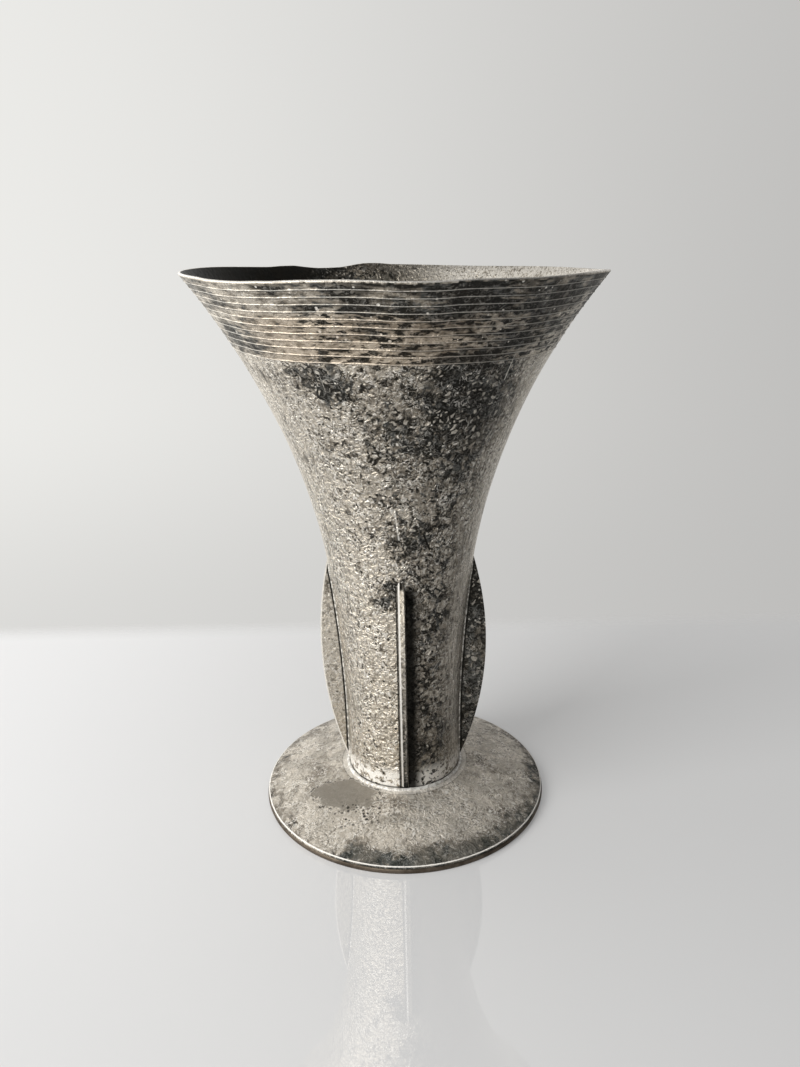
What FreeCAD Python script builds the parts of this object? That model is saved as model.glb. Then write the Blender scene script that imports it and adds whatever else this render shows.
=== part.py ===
import FreeCAD, Part
import math
import os
import Sketcher

# Trumpet vase: a spun flaring body on a domed foot, with four curved fins up the stem.
# The vase stands on its foot at z = 0, its axis is Z, and the front fin points along -Y.

# Driving sizes, in millimetres apart from the thread count
SIZES = [
    ("overall_height", "200", "floor to the top of the lip"),
    ("mouth_diameter", "142.1", "across the outside of the lip"),
    ("stem_diameter", "43.8", "across the outside of the straight stem"),
    ("body_wall", "0.9", "thickness of the spun body"),
    ("stem_straight_length", "14.5", "from the foot's land to where the flare begins"),
    ("flare_join_height", "96.8", "floor to where the slow flare meets the quick one"),
    ("lower_flare", "5", "how far the wall has spread from the stem at that height"),
    ("thread_count", "11", "raised threads under the lip"),
    ("thread_spacing", "2.57", "thread to thread, along the wall"),
    ("thread_margin", "2.3", "lip to the first thread, along the wall"),
    ("thread_height", "0.35", "how far a thread stands out of the wall"),
    ("thread_base", "0.9", "width of a thread where it leaves the wall"),
    ("thread_crest", "0.35", "width of a thread's worn top"),
    ("thread_root", "0.2", "how deep a thread's profile runs into the wall"),
    ("foot_diameter", "110.6", "across the wire round the foot"),
    ("foot_height", "11.2", "floor to the foot's land, where the body is seated"),
    ("foot_sheet", "1", "thickness of the spun foot"),
    ("foot_land_width", "3.6", "width of the flat land outside the stem"),
    ("foot_dome_rise", "0.6", "how far the foot's slope bulges above a straight cone"),
    ("foot_edge_round", "0.5", "rounding of the foot's worn edge"),
    ("register_height", "1.5", "step in the foot that centres the stem"),
    ("register_clearance", "0.3", "between that step and the stem's bore"),
    ("rim_wire_height", "2", "thickness of the wire that the foot rests on"),
    ("rim_wire_width", "4.6", "width of that wire, inside to outside"),
    ("rim_wire_proud", "0.35", "how far the wire stands out past the foot's edge"),
    ("rim_wire_bulge", "0.25", "how far the wire's outer face bows out"),
    ("floor_thickness", "1.2", "thickness of the disc that closes the stem"),
    ("floor_clearance", "0.05", "between that disc and the stem's bore"),
    ("floor_solder_leg", "0.7", "leg of the solder round that disc"),
    ("base_solder_leg", "1", "leg of the solder round the foot of the stem"),
    ("fin_thickness", "2.4", "thickness of a fin"),
    ("fin_top_height", "98.3", "floor to a fin's upper tip"),
    ("fin_reach", "7.5", "how far a fin's edge bows out of the line between its tips"),
    ("fin_root_stock", "4", "metal at a fin's root that is scribed away"),
    ("fin_solder_leg", "0.9", "leg of the solder beside a fin"),
    ("solder_gap", "0.05", "capillary gap between a fin and the body"),
    ("overrun", "2", "how far a cut runs past what it cuts"),
]

# The stem's wall and its two tangent arcs are worked out along the middle of the sheet.
# A turn is the wall's angle from upright, in degrees.
BODY_CURVE = [
    ("stem_radius", "(sizes.stem_diameter - sizes.body_wall) / 2"),
    ("start_height", "sizes.foot_height + sizes.stem_straight_length"),
    ("join_radius", "stem_radius + sizes.lower_flare"),
    ("lip_radius", "(sizes.mouth_diameter - sizes.body_wall) / 2"),
    ("lip_height", "sizes.overall_height - sizes.body_wall / 2"),
    ("lower_rise", "sizes.flare_join_height - start_height"),
    ("lower_turn", "2 * atan(sizes.lower_flare / lower_rise) / 1 deg"),
    ("lower_radius", "(sizes.lower_flare ^ 2 + lower_rise ^ 2) / (2 * sizes.lower_flare)"),
    ("lower_centre_x", "stem_radius + lower_radius"),
    ("upper_spread", "lip_radius - join_radius"),
    ("upper_rise", "lip_height - sizes.flare_join_height"),
    ("upper_turn", "2 * atan(upper_spread / upper_rise) / 1 deg - lower_turn"),
    ("upper_chord", "sqrt(upper_spread ^ 2 + upper_rise ^ 2)"),
    ("upper_radius", "upper_chord / (2 * sin((upper_turn - lower_turn) / 2))"),
    ("upper_centre_x", "join_radius + upper_radius * cos(lower_turn)"),
    ("upper_centre_z", "sizes.flare_join_height - upper_radius * sin(lower_turn)"),
]

# The foot's slope is one arc from the edge of its land to the rounding of its rim.
FOOT_CURVE = [
    ("bore_radius", "sizes.stem_diameter / 2 - sizes.body_wall"),
    ("register_radius", "bore_radius - sizes.register_clearance"),
    ("register_top", "sizes.foot_height + sizes.register_height"),
    ("land_radius", "sizes.stem_diameter / 2 + sizes.foot_land_width"),
    ("edge_radius", "sizes.foot_diameter / 2 - sizes.rim_wire_proud"),
    ("edge_top", "sizes.rim_wire_height + sizes.foot_sheet"),
    ("dome_end", "edge_radius - sizes.foot_edge_round"),
    ("dome_run", "dome_end - land_radius"),
    ("dome_fall", "sizes.foot_height - edge_top"),
    ("dome_chord", "sqrt(dome_run ^ 2 + dome_fall ^ 2)"),
    ("dome_radius", "(dome_chord ^ 2 / 4 + sizes.foot_dome_rise ^ 2) / (2 * sizes.foot_dome_rise)"),
    ("dome_depth", "dome_radius - sizes.foot_dome_rise"),
    ("dome_x", "(land_radius + dome_end) / 2 - dome_depth * dome_fall / dome_chord"),
    ("dome_z", "(sizes.foot_height + edge_top) / 2 - dome_depth * dome_run / dome_chord"),
    ("under_radius", "dome_radius - sizes.foot_sheet"),
    ("under_land", "sizes.foot_height - sizes.foot_sheet"),
    ("under_start", "dome_x + sqrt(under_radius ^ 2 - (under_land - dome_z) ^ 2)"),
    ("under_cut", "sizes.rim_wire_height - sizes.overrun"),
    ("under_end", "dome_x + sqrt(under_radius ^ 2 - (under_cut - dome_z) ^ 2)"),
    ("wire_corner", "sizes.foot_diameter / 2 - sizes.rim_wire_bulge"),
    ("wire_inside", "sizes.foot_diameter / 2 - sizes.rim_wire_width"),
    ("wire_half", "sizes.rim_wire_height / 2"),
    ("wire_face_radius", "(wire_half ^ 2 + sizes.rim_wire_bulge ^ 2) / (2 * sizes.rim_wire_bulge)"),
    ("wire_face_x", "sizes.foot_diameter / 2 - wire_face_radius"),
]

# A fin's free edge is one arc between its tips, which lie on the body's surface.
FIN_CURVE = [
    ("skin", "sizes.body_wall / 2"),
    ("lower_skin", "curve.lower_radius - skin"),
    ("upper_skin", "curve.upper_radius - skin"),
    ("foot_tip_x", "sizes.stem_diameter / 2"),
    ("foot_tip_z", "sizes.foot_height + sizes.base_solder_leg"),
    ("top_tip_z", "sizes.fin_top_height"),
    ("top_on_lower", "curve.lower_centre_x - sqrt(lower_skin ^ 2 - (top_tip_z - curve.start_height) ^ 2)"),
    ("top_on_upper", "curve.upper_centre_x - sqrt(upper_skin ^ 2 - (top_tip_z - curve.upper_centre_z) ^ 2)"),
    ("top_tip_x", "top_tip_z < sizes.flare_join_height ? top_on_lower : top_on_upper"),
    ("edge_rise", "top_tip_z - foot_tip_z"),
    ("edge_lean", "top_tip_x - foot_tip_x"),
    ("edge_chord", "sqrt(edge_rise ^ 2 + edge_lean ^ 2)"),
    ("edge_radius", "(edge_chord ^ 2 / 4 + sizes.fin_reach ^ 2) / (2 * sizes.fin_reach)"),
    ("edge_depth", "edge_radius - sizes.fin_reach"),
    ("edge_x", "(foot_tip_x + top_tip_x) / 2 - edge_depth * edge_rise / edge_chord"),
    ("edge_z", "(foot_tip_z + top_tip_z) / 2 + edge_depth * edge_lean / edge_chord"),
    ("root_top_z", "(top_tip_z < sizes.flare_join_height ? sizes.flare_join_height : top_tip_z) + sizes.overrun"),
    ("root_top_x", "curve.upper_centre_x - sqrt(upper_skin ^ 2 - (root_top_z - curve.upper_centre_z) ^ 2)"),
    ("bead_side", "sizes.fin_thickness / 2"),
    ("bead_toe", "bead_side + sizes.fin_solder_leg"),
    ("bead_toe_x", "sqrt(foot_tip_x ^ 2 - bead_toe ^ 2)"),
]

# Fins, by name and the direction that they point in, in degrees from +X
FIN_DIRECTIONS = {"right": 0, "back": 90, "left": 180, "front": 270}

# A sketch's own numbers for its axes and for the points of a line or an arc
ACROSS_INDEX = -1
UPRIGHT_INDEX = -2
START_INDEX = 1
END_INDEX = 2
CENTRE_INDEX = 3


def make_sheet(doc):
    """Write the driving sizes to the document's sheet, each under its own alias."""
    sheet = doc.addObject("Spreadsheet::Sheet", "sizes")
    for row, (alias, value, meaning) in enumerate(SIZES, start=1):
        sheet.set("A%d" % row, alias)
        sheet.set("B%d" % row, value)
        sheet.set("C%d" % row, meaning)
        sheet.setAlias("B%d" % row, alias)
    doc.recompute()
    return sheet


def make_worked_values(doc, name, table):
    """Hold values that follow from the sheet, each as an expression on a property."""
    values = doc.addObject("App::VarSet", name)
    for key, formula in table:
        values.addProperty("App::PropertyFloat", key, "Worked out")
        values.setExpression(key, formula)
    doc.recompute()
    return values


def number(doc, formula):
    """Give the present value of an expression, for a sketch's first geometry."""
    return float(doc.getObject("sizes").evalExpression(formula))


def plane(body, role):
    """Find one of the body's own origin planes."""
    return [item for item in body.Origin.OriginFeatures if item.Role == role][0]


def new_sketch(body, name, role="XZ_Plane", height=None):
    """Attach a sketch to an origin plane of its body, raised by an expression if one is given."""
    sketch = body.newObject("Sketcher::SketchObject", name)
    sketch.AttachmentSupport = (plane(body, role), [""])
    sketch.MapMode = "FlatFace"
    if height is not None:
        sketch.setExpression("AttachmentOffset.Base.z", height)
    return sketch


def line():
    """A straight side of an outline."""
    return None


def arc(centre_x, centre_y, turn, fixed_by):
    """A round side: its centre, whether it turns left or right, and the size that fixes it."""
    return {"centre": (centre_x, centre_y), "turn": turn, "fixed_by": fixed_by}


def add_side(doc, sketch, start, end, side):
    """Add one side between two corners, and say which of its ends is which corner."""
    first = FreeCAD.Vector(number(doc, start[0]), number(doc, start[1]), 0)
    last = FreeCAD.Vector(number(doc, end[0]), number(doc, end[1]), 0)
    if side is None:
        return sketch.addGeometry(Part.LineSegment(first, last), False), START_INDEX, END_INDEX
    centre = FreeCAD.Vector(number(doc, side["centre"][0]), number(doc, side["centre"][1]), 0)
    begin = math.atan2(first.y - centre.y, first.x - centre.x)
    finish = math.atan2(last.y - centre.y, last.x - centre.x)
    ends = (START_INDEX, END_INDEX)
    if side["turn"] == "right":
        begin, finish = finish, begin
        ends = (END_INDEX, START_INDEX)
    if finish < begin:
        finish += 2 * math.pi
    circle = Part.Circle(centre, FreeCAD.Vector(0, 0, 1), (first - centre).Length)
    return (sketch.addGeometry(Part.ArcOfCircle(circle, begin, finish), False),) + ends


def fix_corner(sketch, geometry, end, corner):
    """Bind a corner to its two expressions, or to an axis where one of them is zero."""
    for kind, axis, formula in (("DistanceX", UPRIGHT_INDEX, corner[0]), ("DistanceY", ACROSS_INDEX, corner[1])):
        if formula == "0":
            sketch.addConstraint(Sketcher.Constraint("PointOnObject", geometry, end, axis))
            continue
        here = number(sketch.Document, formula)
        index = sketch.addConstraint(Sketcher.Constraint(kind, geometry, end, here))
        sketch.setExpression("Constraints[%d]" % index, formula)


def fix_arc(sketch, geometry, side):
    """Bind an arc's last freedom to its radius or to one coordinate of its centre."""
    kind, formula = side["fixed_by"]
    here = number(sketch.Document, formula)
    if kind == "Radius":
        constraint = Sketcher.Constraint("Radius", geometry, here)
    else:
        constraint = Sketcher.Constraint(kind, geometry, CENTRE_INDEX, here)
    index = sketch.addConstraint(constraint)
    sketch.setExpression("Constraints[%d]" % index, formula)


def add_outline(sketch, corners, sides, closed=True):
    """Draw an outline whose corners are pairs of expressions, fully constrained."""
    doc = sketch.Document
    count = len(corners) if closed else len(corners) - 1
    placed = []
    for index in range(count):
        end = corners[(index + 1) % len(corners)]
        placed.append(add_side(doc, sketch, corners[index], end, sides[index]))
    for index, (geometry, _, last) in enumerate(placed):
        if index + 1 < count or closed:
            following, begins, _ = placed[(index + 1) % count]
            joint = Sketcher.Constraint("Coincident", geometry, last, following, begins)
            sketch.addConstraint(joint)
    for (geometry, first, _), corner in zip(placed, corners):
        fix_corner(sketch, geometry, first, corner)
    if not closed:
        fix_corner(sketch, placed[-1][0], placed[-1][2], corners[-1])
    for (geometry, _, _), side in zip(placed, sides):
        if side is not None:
            fix_arc(sketch, geometry, side)


def revolve(body, name, sketch, kind="PartDesign::Revolution"):
    """Turn a sketch once round the vase's axis, as metal or as a cut."""
    feature = body.newObject(kind, name)
    feature.Profile = sketch
    feature.ReferenceAxis = (sketch, ["V_Axis"])
    feature.Angle = 360
    body.Document.recompute()
    return feature


def new_body(doc, name):
    """Start a sub-part whose label is the name of its file."""
    body = doc.addObject("PartDesign::Body", name)
    body.Label = name
    return body


def wall_points(depth):
    """The wall's four stations, moved out of the middle of the sheet by an expression."""
    lower = "curve.lower_turn"
    upper = "curve.upper_turn"
    return {
        "start": ("curve.stem_radius + (%s)" % depth, "curve.start_height"),
        "join": ("curve.join_radius + (%s) * cos(%s)" % (depth, lower),
                 "sizes.flare_join_height - (%s) * sin(%s)" % (depth, lower)),
        "lip": ("curve.lip_radius + (%s) * cos(%s)" % (depth, upper),
                "curve.lip_height - (%s) * sin(%s)" % (depth, upper)),
    }


def lower_arc(depth, turn):
    """The slow arc that begins the flare."""
    radius = ("Radius", "curve.lower_radius - (%s)" % depth)
    return arc("curve.lower_centre_x", "curve.start_height", turn, radius)


def upper_arc(depth, turn):
    """The quick arc that ends at the lip."""
    radius = ("Radius", "curve.upper_radius - (%s)" % depth)
    return arc("curve.upper_centre_x", "curve.upper_centre_z", turn, radius)


def scribe_to_body(body, gap):
    """Cut the body's outer form, with a gap, out of a piece that is fitted against it."""
    depth = "sizes.body_wall / 2 + " + gap
    points = wall_points(depth)
    bottom = "sizes.foot_height - sizes.overrun"
    corners = [("0", bottom), (points["start"][0], bottom), points["start"], points["join"],
               points["lip"], ("0", points["lip"][1])]
    sides = [line(), line(), lower_arc(depth, "right"), upper_arc(depth, "right"), line(), line()]
    sketch = new_sketch(body, body.Label + "_scribe_line")
    add_outline(sketch, corners, sides)
    return revolve(body, body.Label + "_scribed", sketch, "PartDesign::Groove")


def thread_outline(index):
    """One thread's profile, at its place along the upper arc."""
    along = "(sizes.thread_margin + %d * sizes.thread_spacing + (%s)) / (curve.upper_radius - sizes.body_wall / 2)"
    root = "curve.upper_radius - sizes.body_wall / 2 + sizes.thread_root"
    crest = "curve.upper_radius - sizes.body_wall / 2 - sizes.thread_height"
    corners = []
    for radius, offset in ((root, "sizes.thread_base / 2"), (crest, "sizes.thread_crest / 2"),
                           (crest, "-sizes.thread_crest / 2"), (root, "-sizes.thread_base / 2")):
        angle = "curve.upper_turn - %s * 180 / pi" % (along % (index, offset))
        corners.append(("curve.upper_centre_x - (%s) * cos(%s)" % (radius, angle),
                        "curve.upper_centre_z + (%s) * sin(%s)" % (radius, angle)))
    return corners


def make_trumpet_body(doc):
    """The spun body: straight stem, two tangent arcs, a rounded lip and raised threads."""
    body = new_body(doc, "trumpet_body")
    outer = wall_points("sizes.body_wall / 2")
    inner = wall_points("-sizes.body_wall / 2")
    seat = "sizes.foot_height"
    corners = [(outer["start"][0], seat), outer["start"], outer["join"], outer["lip"],
               inner["lip"], inner["join"], inner["start"], (inner["start"][0], seat)]
    lip = arc("curve.lip_radius", "curve.lip_height", "left", ("DistanceY", "curve.lip_height"))
    sides = [line(), lower_arc("sizes.body_wall / 2", "right"), upper_arc("sizes.body_wall / 2", "right"),
             lip, upper_arc("-sizes.body_wall / 2", "left"), lower_arc("-sizes.body_wall / 2", "left"),
             line(), line()]
    wall = new_sketch(body, "wall_profile")
    add_outline(wall, corners, sides)
    revolve(body, "spun_wall", wall)
    threads = new_sketch(body, "thread_profiles")
    for index in range(round(number(doc, "sizes.thread_count"))):
        add_outline(threads, thread_outline(index), [line()] * 4)
    revolve(body, "raised_threads", threads)
    return body


def make_body_floor(doc):
    """The disc that closes the stem, seated on the foot's register."""
    body = new_body(doc, "body_floor")
    radius = "foot.bore_radius - sizes.floor_clearance"
    top = "foot.register_top + sizes.floor_thickness"
    corners = [("0", "foot.register_top"), (radius, "foot.register_top"), (radius, top), ("0", top)]
    sketch = new_sketch(body, "floor_profile")
    add_outline(sketch, corners, [line()] * 4)
    revolve(body, "floor_disc", sketch)
    return body


def make_solder_ring(doc, name, wall, level, leg, towards_axis):
    """A fillet of solder in the corner between a round wall and the face below it."""
    body = new_body(doc, name)
    toe = "%s %s %s" % (wall, "-" if towards_axis else "+", leg)
    corners = [(wall, level), (toe, level), (wall, "%s + %s" % (level, leg))]
    sketch = new_sketch(body, name + "_profile")
    add_outline(sketch, corners, [line()] * 3)
    revolve(body, name + "_ring", sketch)
    return body


def make_foot_shell(doc):
    """The spun foot: register, flat land, domed slope and worn edge, hollow underneath."""
    body = new_body(doc, "foot_shell")
    dome = arc("foot.dome_x", "foot.dome_z", "right", ("Radius", "foot.dome_radius"))
    rounded = arc("foot.dome_end", "foot.edge_top - sizes.foot_edge_round", "right",
                  ("Radius", "sizes.foot_edge_round"))
    corners = [("0", "foot.register_top"), ("foot.register_radius", "foot.register_top"),
               ("foot.register_radius", "sizes.foot_height"), ("foot.land_radius", "sizes.foot_height"),
               ("foot.dome_end", "foot.edge_top"),
               ("foot.edge_radius", "foot.edge_top - sizes.foot_edge_round"),
               ("foot.edge_radius", "sizes.rim_wire_height"), ("0", "sizes.rim_wire_height")]
    sides = [line(), line(), line(), dome, rounded, line(), line(), line()]
    outside = new_sketch(body, "foot_outside")
    add_outline(outside, corners, sides)
    revolve(body, "foot_form", outside)
    under = arc("foot.dome_x", "foot.dome_z", "right", ("Radius", "foot.under_radius"))
    ceiling = "foot.register_top - sizes.foot_sheet"
    bore = "foot.register_radius - sizes.foot_sheet"
    corners = [("0", ceiling), (bore, ceiling), (bore, "foot.under_land"),
               ("foot.under_start", "foot.under_land"), ("foot.under_end", "foot.under_cut"),
               ("0", "foot.under_cut")]
    sides = [line(), line(), line(), under, line(), line()]
    inside = new_sketch(body, "foot_inside")
    add_outline(inside, corners, sides)
    revolve(body, "foot_hollow", inside, "PartDesign::Groove")
    return body


def make_foot_rim_wire(doc):
    """The wire under the foot's edge, flat below and bowed outside, that the vase rests on."""
    body = new_body(doc, "foot_rim_wire")
    corners = [("foot.wire_inside", "0"), ("foot.wire_corner", "0"),
               ("foot.wire_corner", "sizes.rim_wire_height"),
               ("foot.wire_inside", "sizes.rim_wire_height")]
    face = arc("foot.wire_face_x", "foot.wire_half", "left", ("Radius", "foot.wire_face_radius"))
    sketch = new_sketch(body, "rim_wire_profile")
    add_outline(sketch, corners, [line(), face, line(), line()])
    revolve(body, "rim_wire_ring", sketch)
    return body


def fin_edge():
    """The arc of a fin's free edge, from its lower tip to its upper one."""
    return arc("fin.edge_x", "fin.edge_z", "left", ("Radius", "fin.edge_radius"))


def place_round_axis(body, degrees):
    """Turn a sub-part that was drawn along +X to its own direction."""
    body.Placement = FreeCAD.Placement(FreeCAD.Vector(0, 0, 0), FreeCAD.Rotation(degrees, 0, 0))


def make_fin(doc, side, degrees):
    """A flat fin with a bowed edge, its root scribed to the curve of the body."""
    body = new_body(doc, "fin_" + side)
    corners = [("fin.foot_tip_x - sizes.fin_root_stock", "fin.foot_tip_z"),
               ("fin.foot_tip_x", "fin.foot_tip_z"), ("fin.top_tip_x", "fin.top_tip_z"),
               ("fin.top_tip_x - sizes.fin_root_stock", "fin.top_tip_z")]
    sketch = new_sketch(body, body.Label + "_blank_outline")
    add_outline(sketch, corners, [line(), fin_edge(), line(), line()])
    blank = body.newObject("PartDesign::Pad", body.Label + "_blank")
    blank.Profile = sketch
    blank.SideType = "Symmetric"
    blank.setExpression("Length", "sizes.fin_thickness")
    doc.recompute()
    scribe_to_body(body, "sizes.solder_gap")
    place_round_axis(body, degrees)
    return body


def make_fin_solder(doc, side, degrees):
    """The two fillets of solder that hold a fin, run out where its edge meets the body."""
    body = new_body(doc, "fin_solder_" + side)
    body.AllowCompound = True
    skin = "sizes.body_wall / 2"
    points = wall_points(skin)
    spine = new_sketch(body, body.Label + "_root_line")
    add_outline(spine, [("fin.foot_tip_x", "sizes.foot_height"), points["start"], points["join"],
                        ("fin.root_top_x", "fin.root_top_z")],
                [line(), lower_arc(skin, "right"), upper_arc(skin, "right")], closed=False)
    section = new_sketch(body, body.Label + "_section", "XY_Plane", "sizes.foot_height")
    add_outline(section, [("fin.foot_tip_x - sizes.fin_root_stock", "fin.bead_side"),
                          ("fin.foot_tip_x + sizes.fin_solder_leg", "fin.bead_side"),
                          ("fin.bead_toe_x", "fin.bead_toe"),
                          ("fin.foot_tip_x - sizes.fin_root_stock", "fin.bead_toe")], [line()] * 4)
    bead = body.newObject("PartDesign::AdditivePipe", body.Label + "_bead")
    bead.Profile = section
    bead.Spine = spine
    doc.recompute()
    pair = body.newObject("PartDesign::Mirrored", body.Label + "_pair")
    pair.Originals = [bead]
    pair.MirrorPlane = (plane(body, "XZ_Plane"), [""])
    body.Tip = pair
    doc.recompute()
    scribe_to_body(body, "0")
    low = "sizes.foot_height - sizes.overrun"
    high = "fin.root_top_z + sizes.overrun"
    inner_low = "fin.foot_tip_x - sizes.fin_root_stock"
    inner_high = "fin.top_tip_x - sizes.fin_root_stock"
    far = "fin.root_top_x + sizes.fin_reach + sizes.fin_solder_leg + sizes.overrun"
    corners = [("fin.foot_tip_x", "fin.foot_tip_z"), ("fin.top_tip_x", "fin.top_tip_z"),
               (inner_high, "fin.top_tip_z"), (inner_high, high), (far, high), (far, low),
               (inner_low, low), (inner_low, "fin.foot_tip_z")]
    sketch = new_sketch(body, body.Label + "_run_out_line")
    add_outline(sketch, corners, [fin_edge()] + [line()] * 7)
    run_out = body.newObject("PartDesign::Pocket", body.Label + "_run_out")
    run_out.Profile = sketch
    run_out.SideType = "Symmetric"
    run_out.Type = "ThroughAll"
    doc.recompute()
    place_round_axis(body, degrees)
    return body


def check_document(doc, parts):
    """Stop if any feature failed or any sub-part has no sound shape."""
    doc.recompute()
    for item in doc.Objects:
        if "Invalid" in item.State or "Error" in item.State:
            raise RuntimeError("%s failed: %s" % (item.Name, item.State))
    for part in parts:
        if part.Shape.isNull() or not part.Shape.isValid() or not part.Shape.Solids:
            raise RuntimeError("%s has no sound shape" % part.Label)


def main():
    doc = FreeCAD.newDocument("trumpet_vase")
    make_sheet(doc)
    make_worked_values(doc, "curve", BODY_CURVE)
    make_worked_values(doc, "foot", FOOT_CURVE)
    make_worked_values(doc, "fin", FIN_CURVE)
    parts = [make_trumpet_body(doc), make_body_floor(doc), make_foot_shell(doc), make_foot_rim_wire(doc)]
    stem = "sizes.stem_diameter / 2"
    parts.append(make_solder_ring(doc, "base_solder", stem, "sizes.foot_height",
                                  "sizes.base_solder_leg", towards_axis=False))
    parts.append(make_solder_ring(doc, "floor_solder", "foot.bore_radius",
                                  "(foot.register_top + sizes.floor_thickness)",
                                  "sizes.floor_solder_leg", towards_axis=True))
    for side, degrees in FIN_DIRECTIONS.items():
        parts.append(make_fin(doc, side, degrees))
        parts.append(make_fin_solder(doc, side, degrees))
    check_document(doc, parts)
    os.makedirs("parts", exist_ok=True)
    for part in parts:
        part.Shape.exportStep("parts/%s.step" % part.Label)
        box = part.Shape.optimalBoundingBox()
        print("%-18s %d solid(s), %9.1f mm3, z %.2f to %.2f" % (
            part.Label, len(part.Shape.Solids), part.Shape.Volume, box.ZMin, box.ZMax))


main()
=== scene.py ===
"""Dresses the trumpet vase: aged silver plate, a hand-worn lip, threads, solder and a pale studio."""
import math

import bmesh
import bpy
from bpy.props import FloatProperty, FloatVectorProperty, IntProperty, PointerProperty
from mathutils import Matrix, Vector


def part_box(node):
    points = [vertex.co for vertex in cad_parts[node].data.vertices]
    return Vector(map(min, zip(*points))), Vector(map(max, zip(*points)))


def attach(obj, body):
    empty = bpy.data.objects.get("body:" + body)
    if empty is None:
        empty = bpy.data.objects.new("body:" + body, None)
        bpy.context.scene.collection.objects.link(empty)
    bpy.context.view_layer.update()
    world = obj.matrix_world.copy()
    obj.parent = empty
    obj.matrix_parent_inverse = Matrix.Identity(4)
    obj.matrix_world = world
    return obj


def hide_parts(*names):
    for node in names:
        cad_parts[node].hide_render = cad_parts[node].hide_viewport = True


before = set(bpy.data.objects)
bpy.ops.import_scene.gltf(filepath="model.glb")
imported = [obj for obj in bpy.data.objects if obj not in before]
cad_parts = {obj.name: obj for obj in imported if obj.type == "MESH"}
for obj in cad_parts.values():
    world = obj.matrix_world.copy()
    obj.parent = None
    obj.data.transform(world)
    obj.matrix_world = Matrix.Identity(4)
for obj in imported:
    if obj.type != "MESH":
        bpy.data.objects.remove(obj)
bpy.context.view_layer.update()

bl_info = {
    "name": "Trumpet Vase",
    "version": (1, 0, 0),
    "blender": (4, 5, 0),
    "location": "View3D > Sidebar > Vase",
    "description": "Builds an aged silver-plated trumpet vase with fins, threads and solder",
    "category": "Add Mesh",
}

MM = 0.001
# Points closer than the first are one point, and points nearer the axis than the second are on it
MERGE, POLE = 0.001 * MM, 0.01 * MM
BODY_LOW, BODY_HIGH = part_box("trumpet_body")
FOOT_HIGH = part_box("foot_shell")[1]
WIRE_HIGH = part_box("foot_rim_wire")[1]
FLOOR_LOW, FLOOR_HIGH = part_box("body_floor")
FIN_LOW, FIN_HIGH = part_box("fin_right")
FIN_HALF = (FIN_HIGH.y - FIN_LOW.y) / 2
# How much thinner the worn fins are, on each face
FIN_WORN = 0.1 * MM
# Fins by the side they stand on: direction in degrees, and how far its maker filed it back
FINS = {"right": (0, 0.0), "back": (90, 0.4 * MM), "left": (180, 1.1 * MM), "front": (270, 0.0)}
# The foot: the land round the stem, the sheet, the dome's rise, the edge's rounding and the gap at the register
FOOT_LAND, FOOT_SHEET, FOOT_RISE, FOOT_ROUNDING = 3.6 * MM, 1.0 * MM, 0.6 * MM, 0.5 * MM
REGISTER_GAP = 0.3 * MM
# The rim wire: its width, how far its side bulges, and its rounding
WIRE_WIDTH, WIRE_BULGE, WIRE_ROUNDING = 4.6 * MM, 0.25 * MM, 0.3 * MM
# Radius of the solder round the stem's base, and round the inner floor
BASE_BEAD, FLOOR_BEAD = 0.78 * MM, 0.5 * MM
# The lip's bends fade in above this height
BEND_FROM = 130 * MM
# How far from the lip the threads' patina ends
THREADS_END = 28.0 * MM, 28.7 * MM


# Kinds of property: lengths are given in millimetres, angles in degrees and colours as red, green and blue
def length(name, description, millimetres):
    return FloatProperty(name=name, description=description, default=millimetres * MM, unit="LENGTH")


def number(name, description, default, **kind):
    return FloatProperty(name=name, description=description, default=default, **kind)


def incline(name, description, degrees):
    return FloatProperty(name=name, description=description, default=math.radians(degrees), subtype="ANGLE")


def count_of(name, description, default, least):
    return IntProperty(name=name, description=description, default=default, min=least)


def tint(name, description, *shade):
    return FloatVectorProperty(name=name, description=description, subtype="COLOR", size=3, default=shade)


class VaseSizes(bpy.types.PropertyGroup):
    """Sizes that shape the vase's pieces."""

    wall: length("Wall", "Thickness of the spun body", 0.9)
    stem_radius: length("Stem radius", "Outside radius of the straight stem", 21.9)
    flare_start: length("Flare start", "Height where the wall leaves the straight stem", 25.7)
    flare_join: length("Flare join", "Height where the slow curve meets the quick one", 96.8)
    lower_flare: length("Lower flare", "Spread of the wall at the join", 5)
    thread_count: count_of("Threads", "Raised threads under the lip", 11, 1)
    thread_pitch: length("Thread pitch", "Thread to thread along the wall", 2.57)
    thread_margin: length("Thread margin", "Lip to the first thread", 2.3)
    thread_height: length("Thread height", "How far a thread stands out", 0.18)
    thread_width: length("Thread width", "Width of a thread at the wall", 0.52)
    segments: count_of("Segments", "Steps round the spun pieces", 264, 32)
    lip_bend: number("Lip bend", "Share of the lip's measured bends", 1.0, subtype="FACTOR")
    unevenness: length("Unevenness", "Depth of the soft dents in the sheet", 0.12)
    fin_arris: length("Fin arris", "Worn rounding along a fin's edges", 0.68)
    fin_reach: length("Fin reach", "How far a fin's edge bows out", 7.5)
    fin_top: length("Fin top", "Height of a fin's upper tip", 98.3)
    bead: length("Solder bead", "Radius of the solder beside a fin", 0.42)


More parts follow.
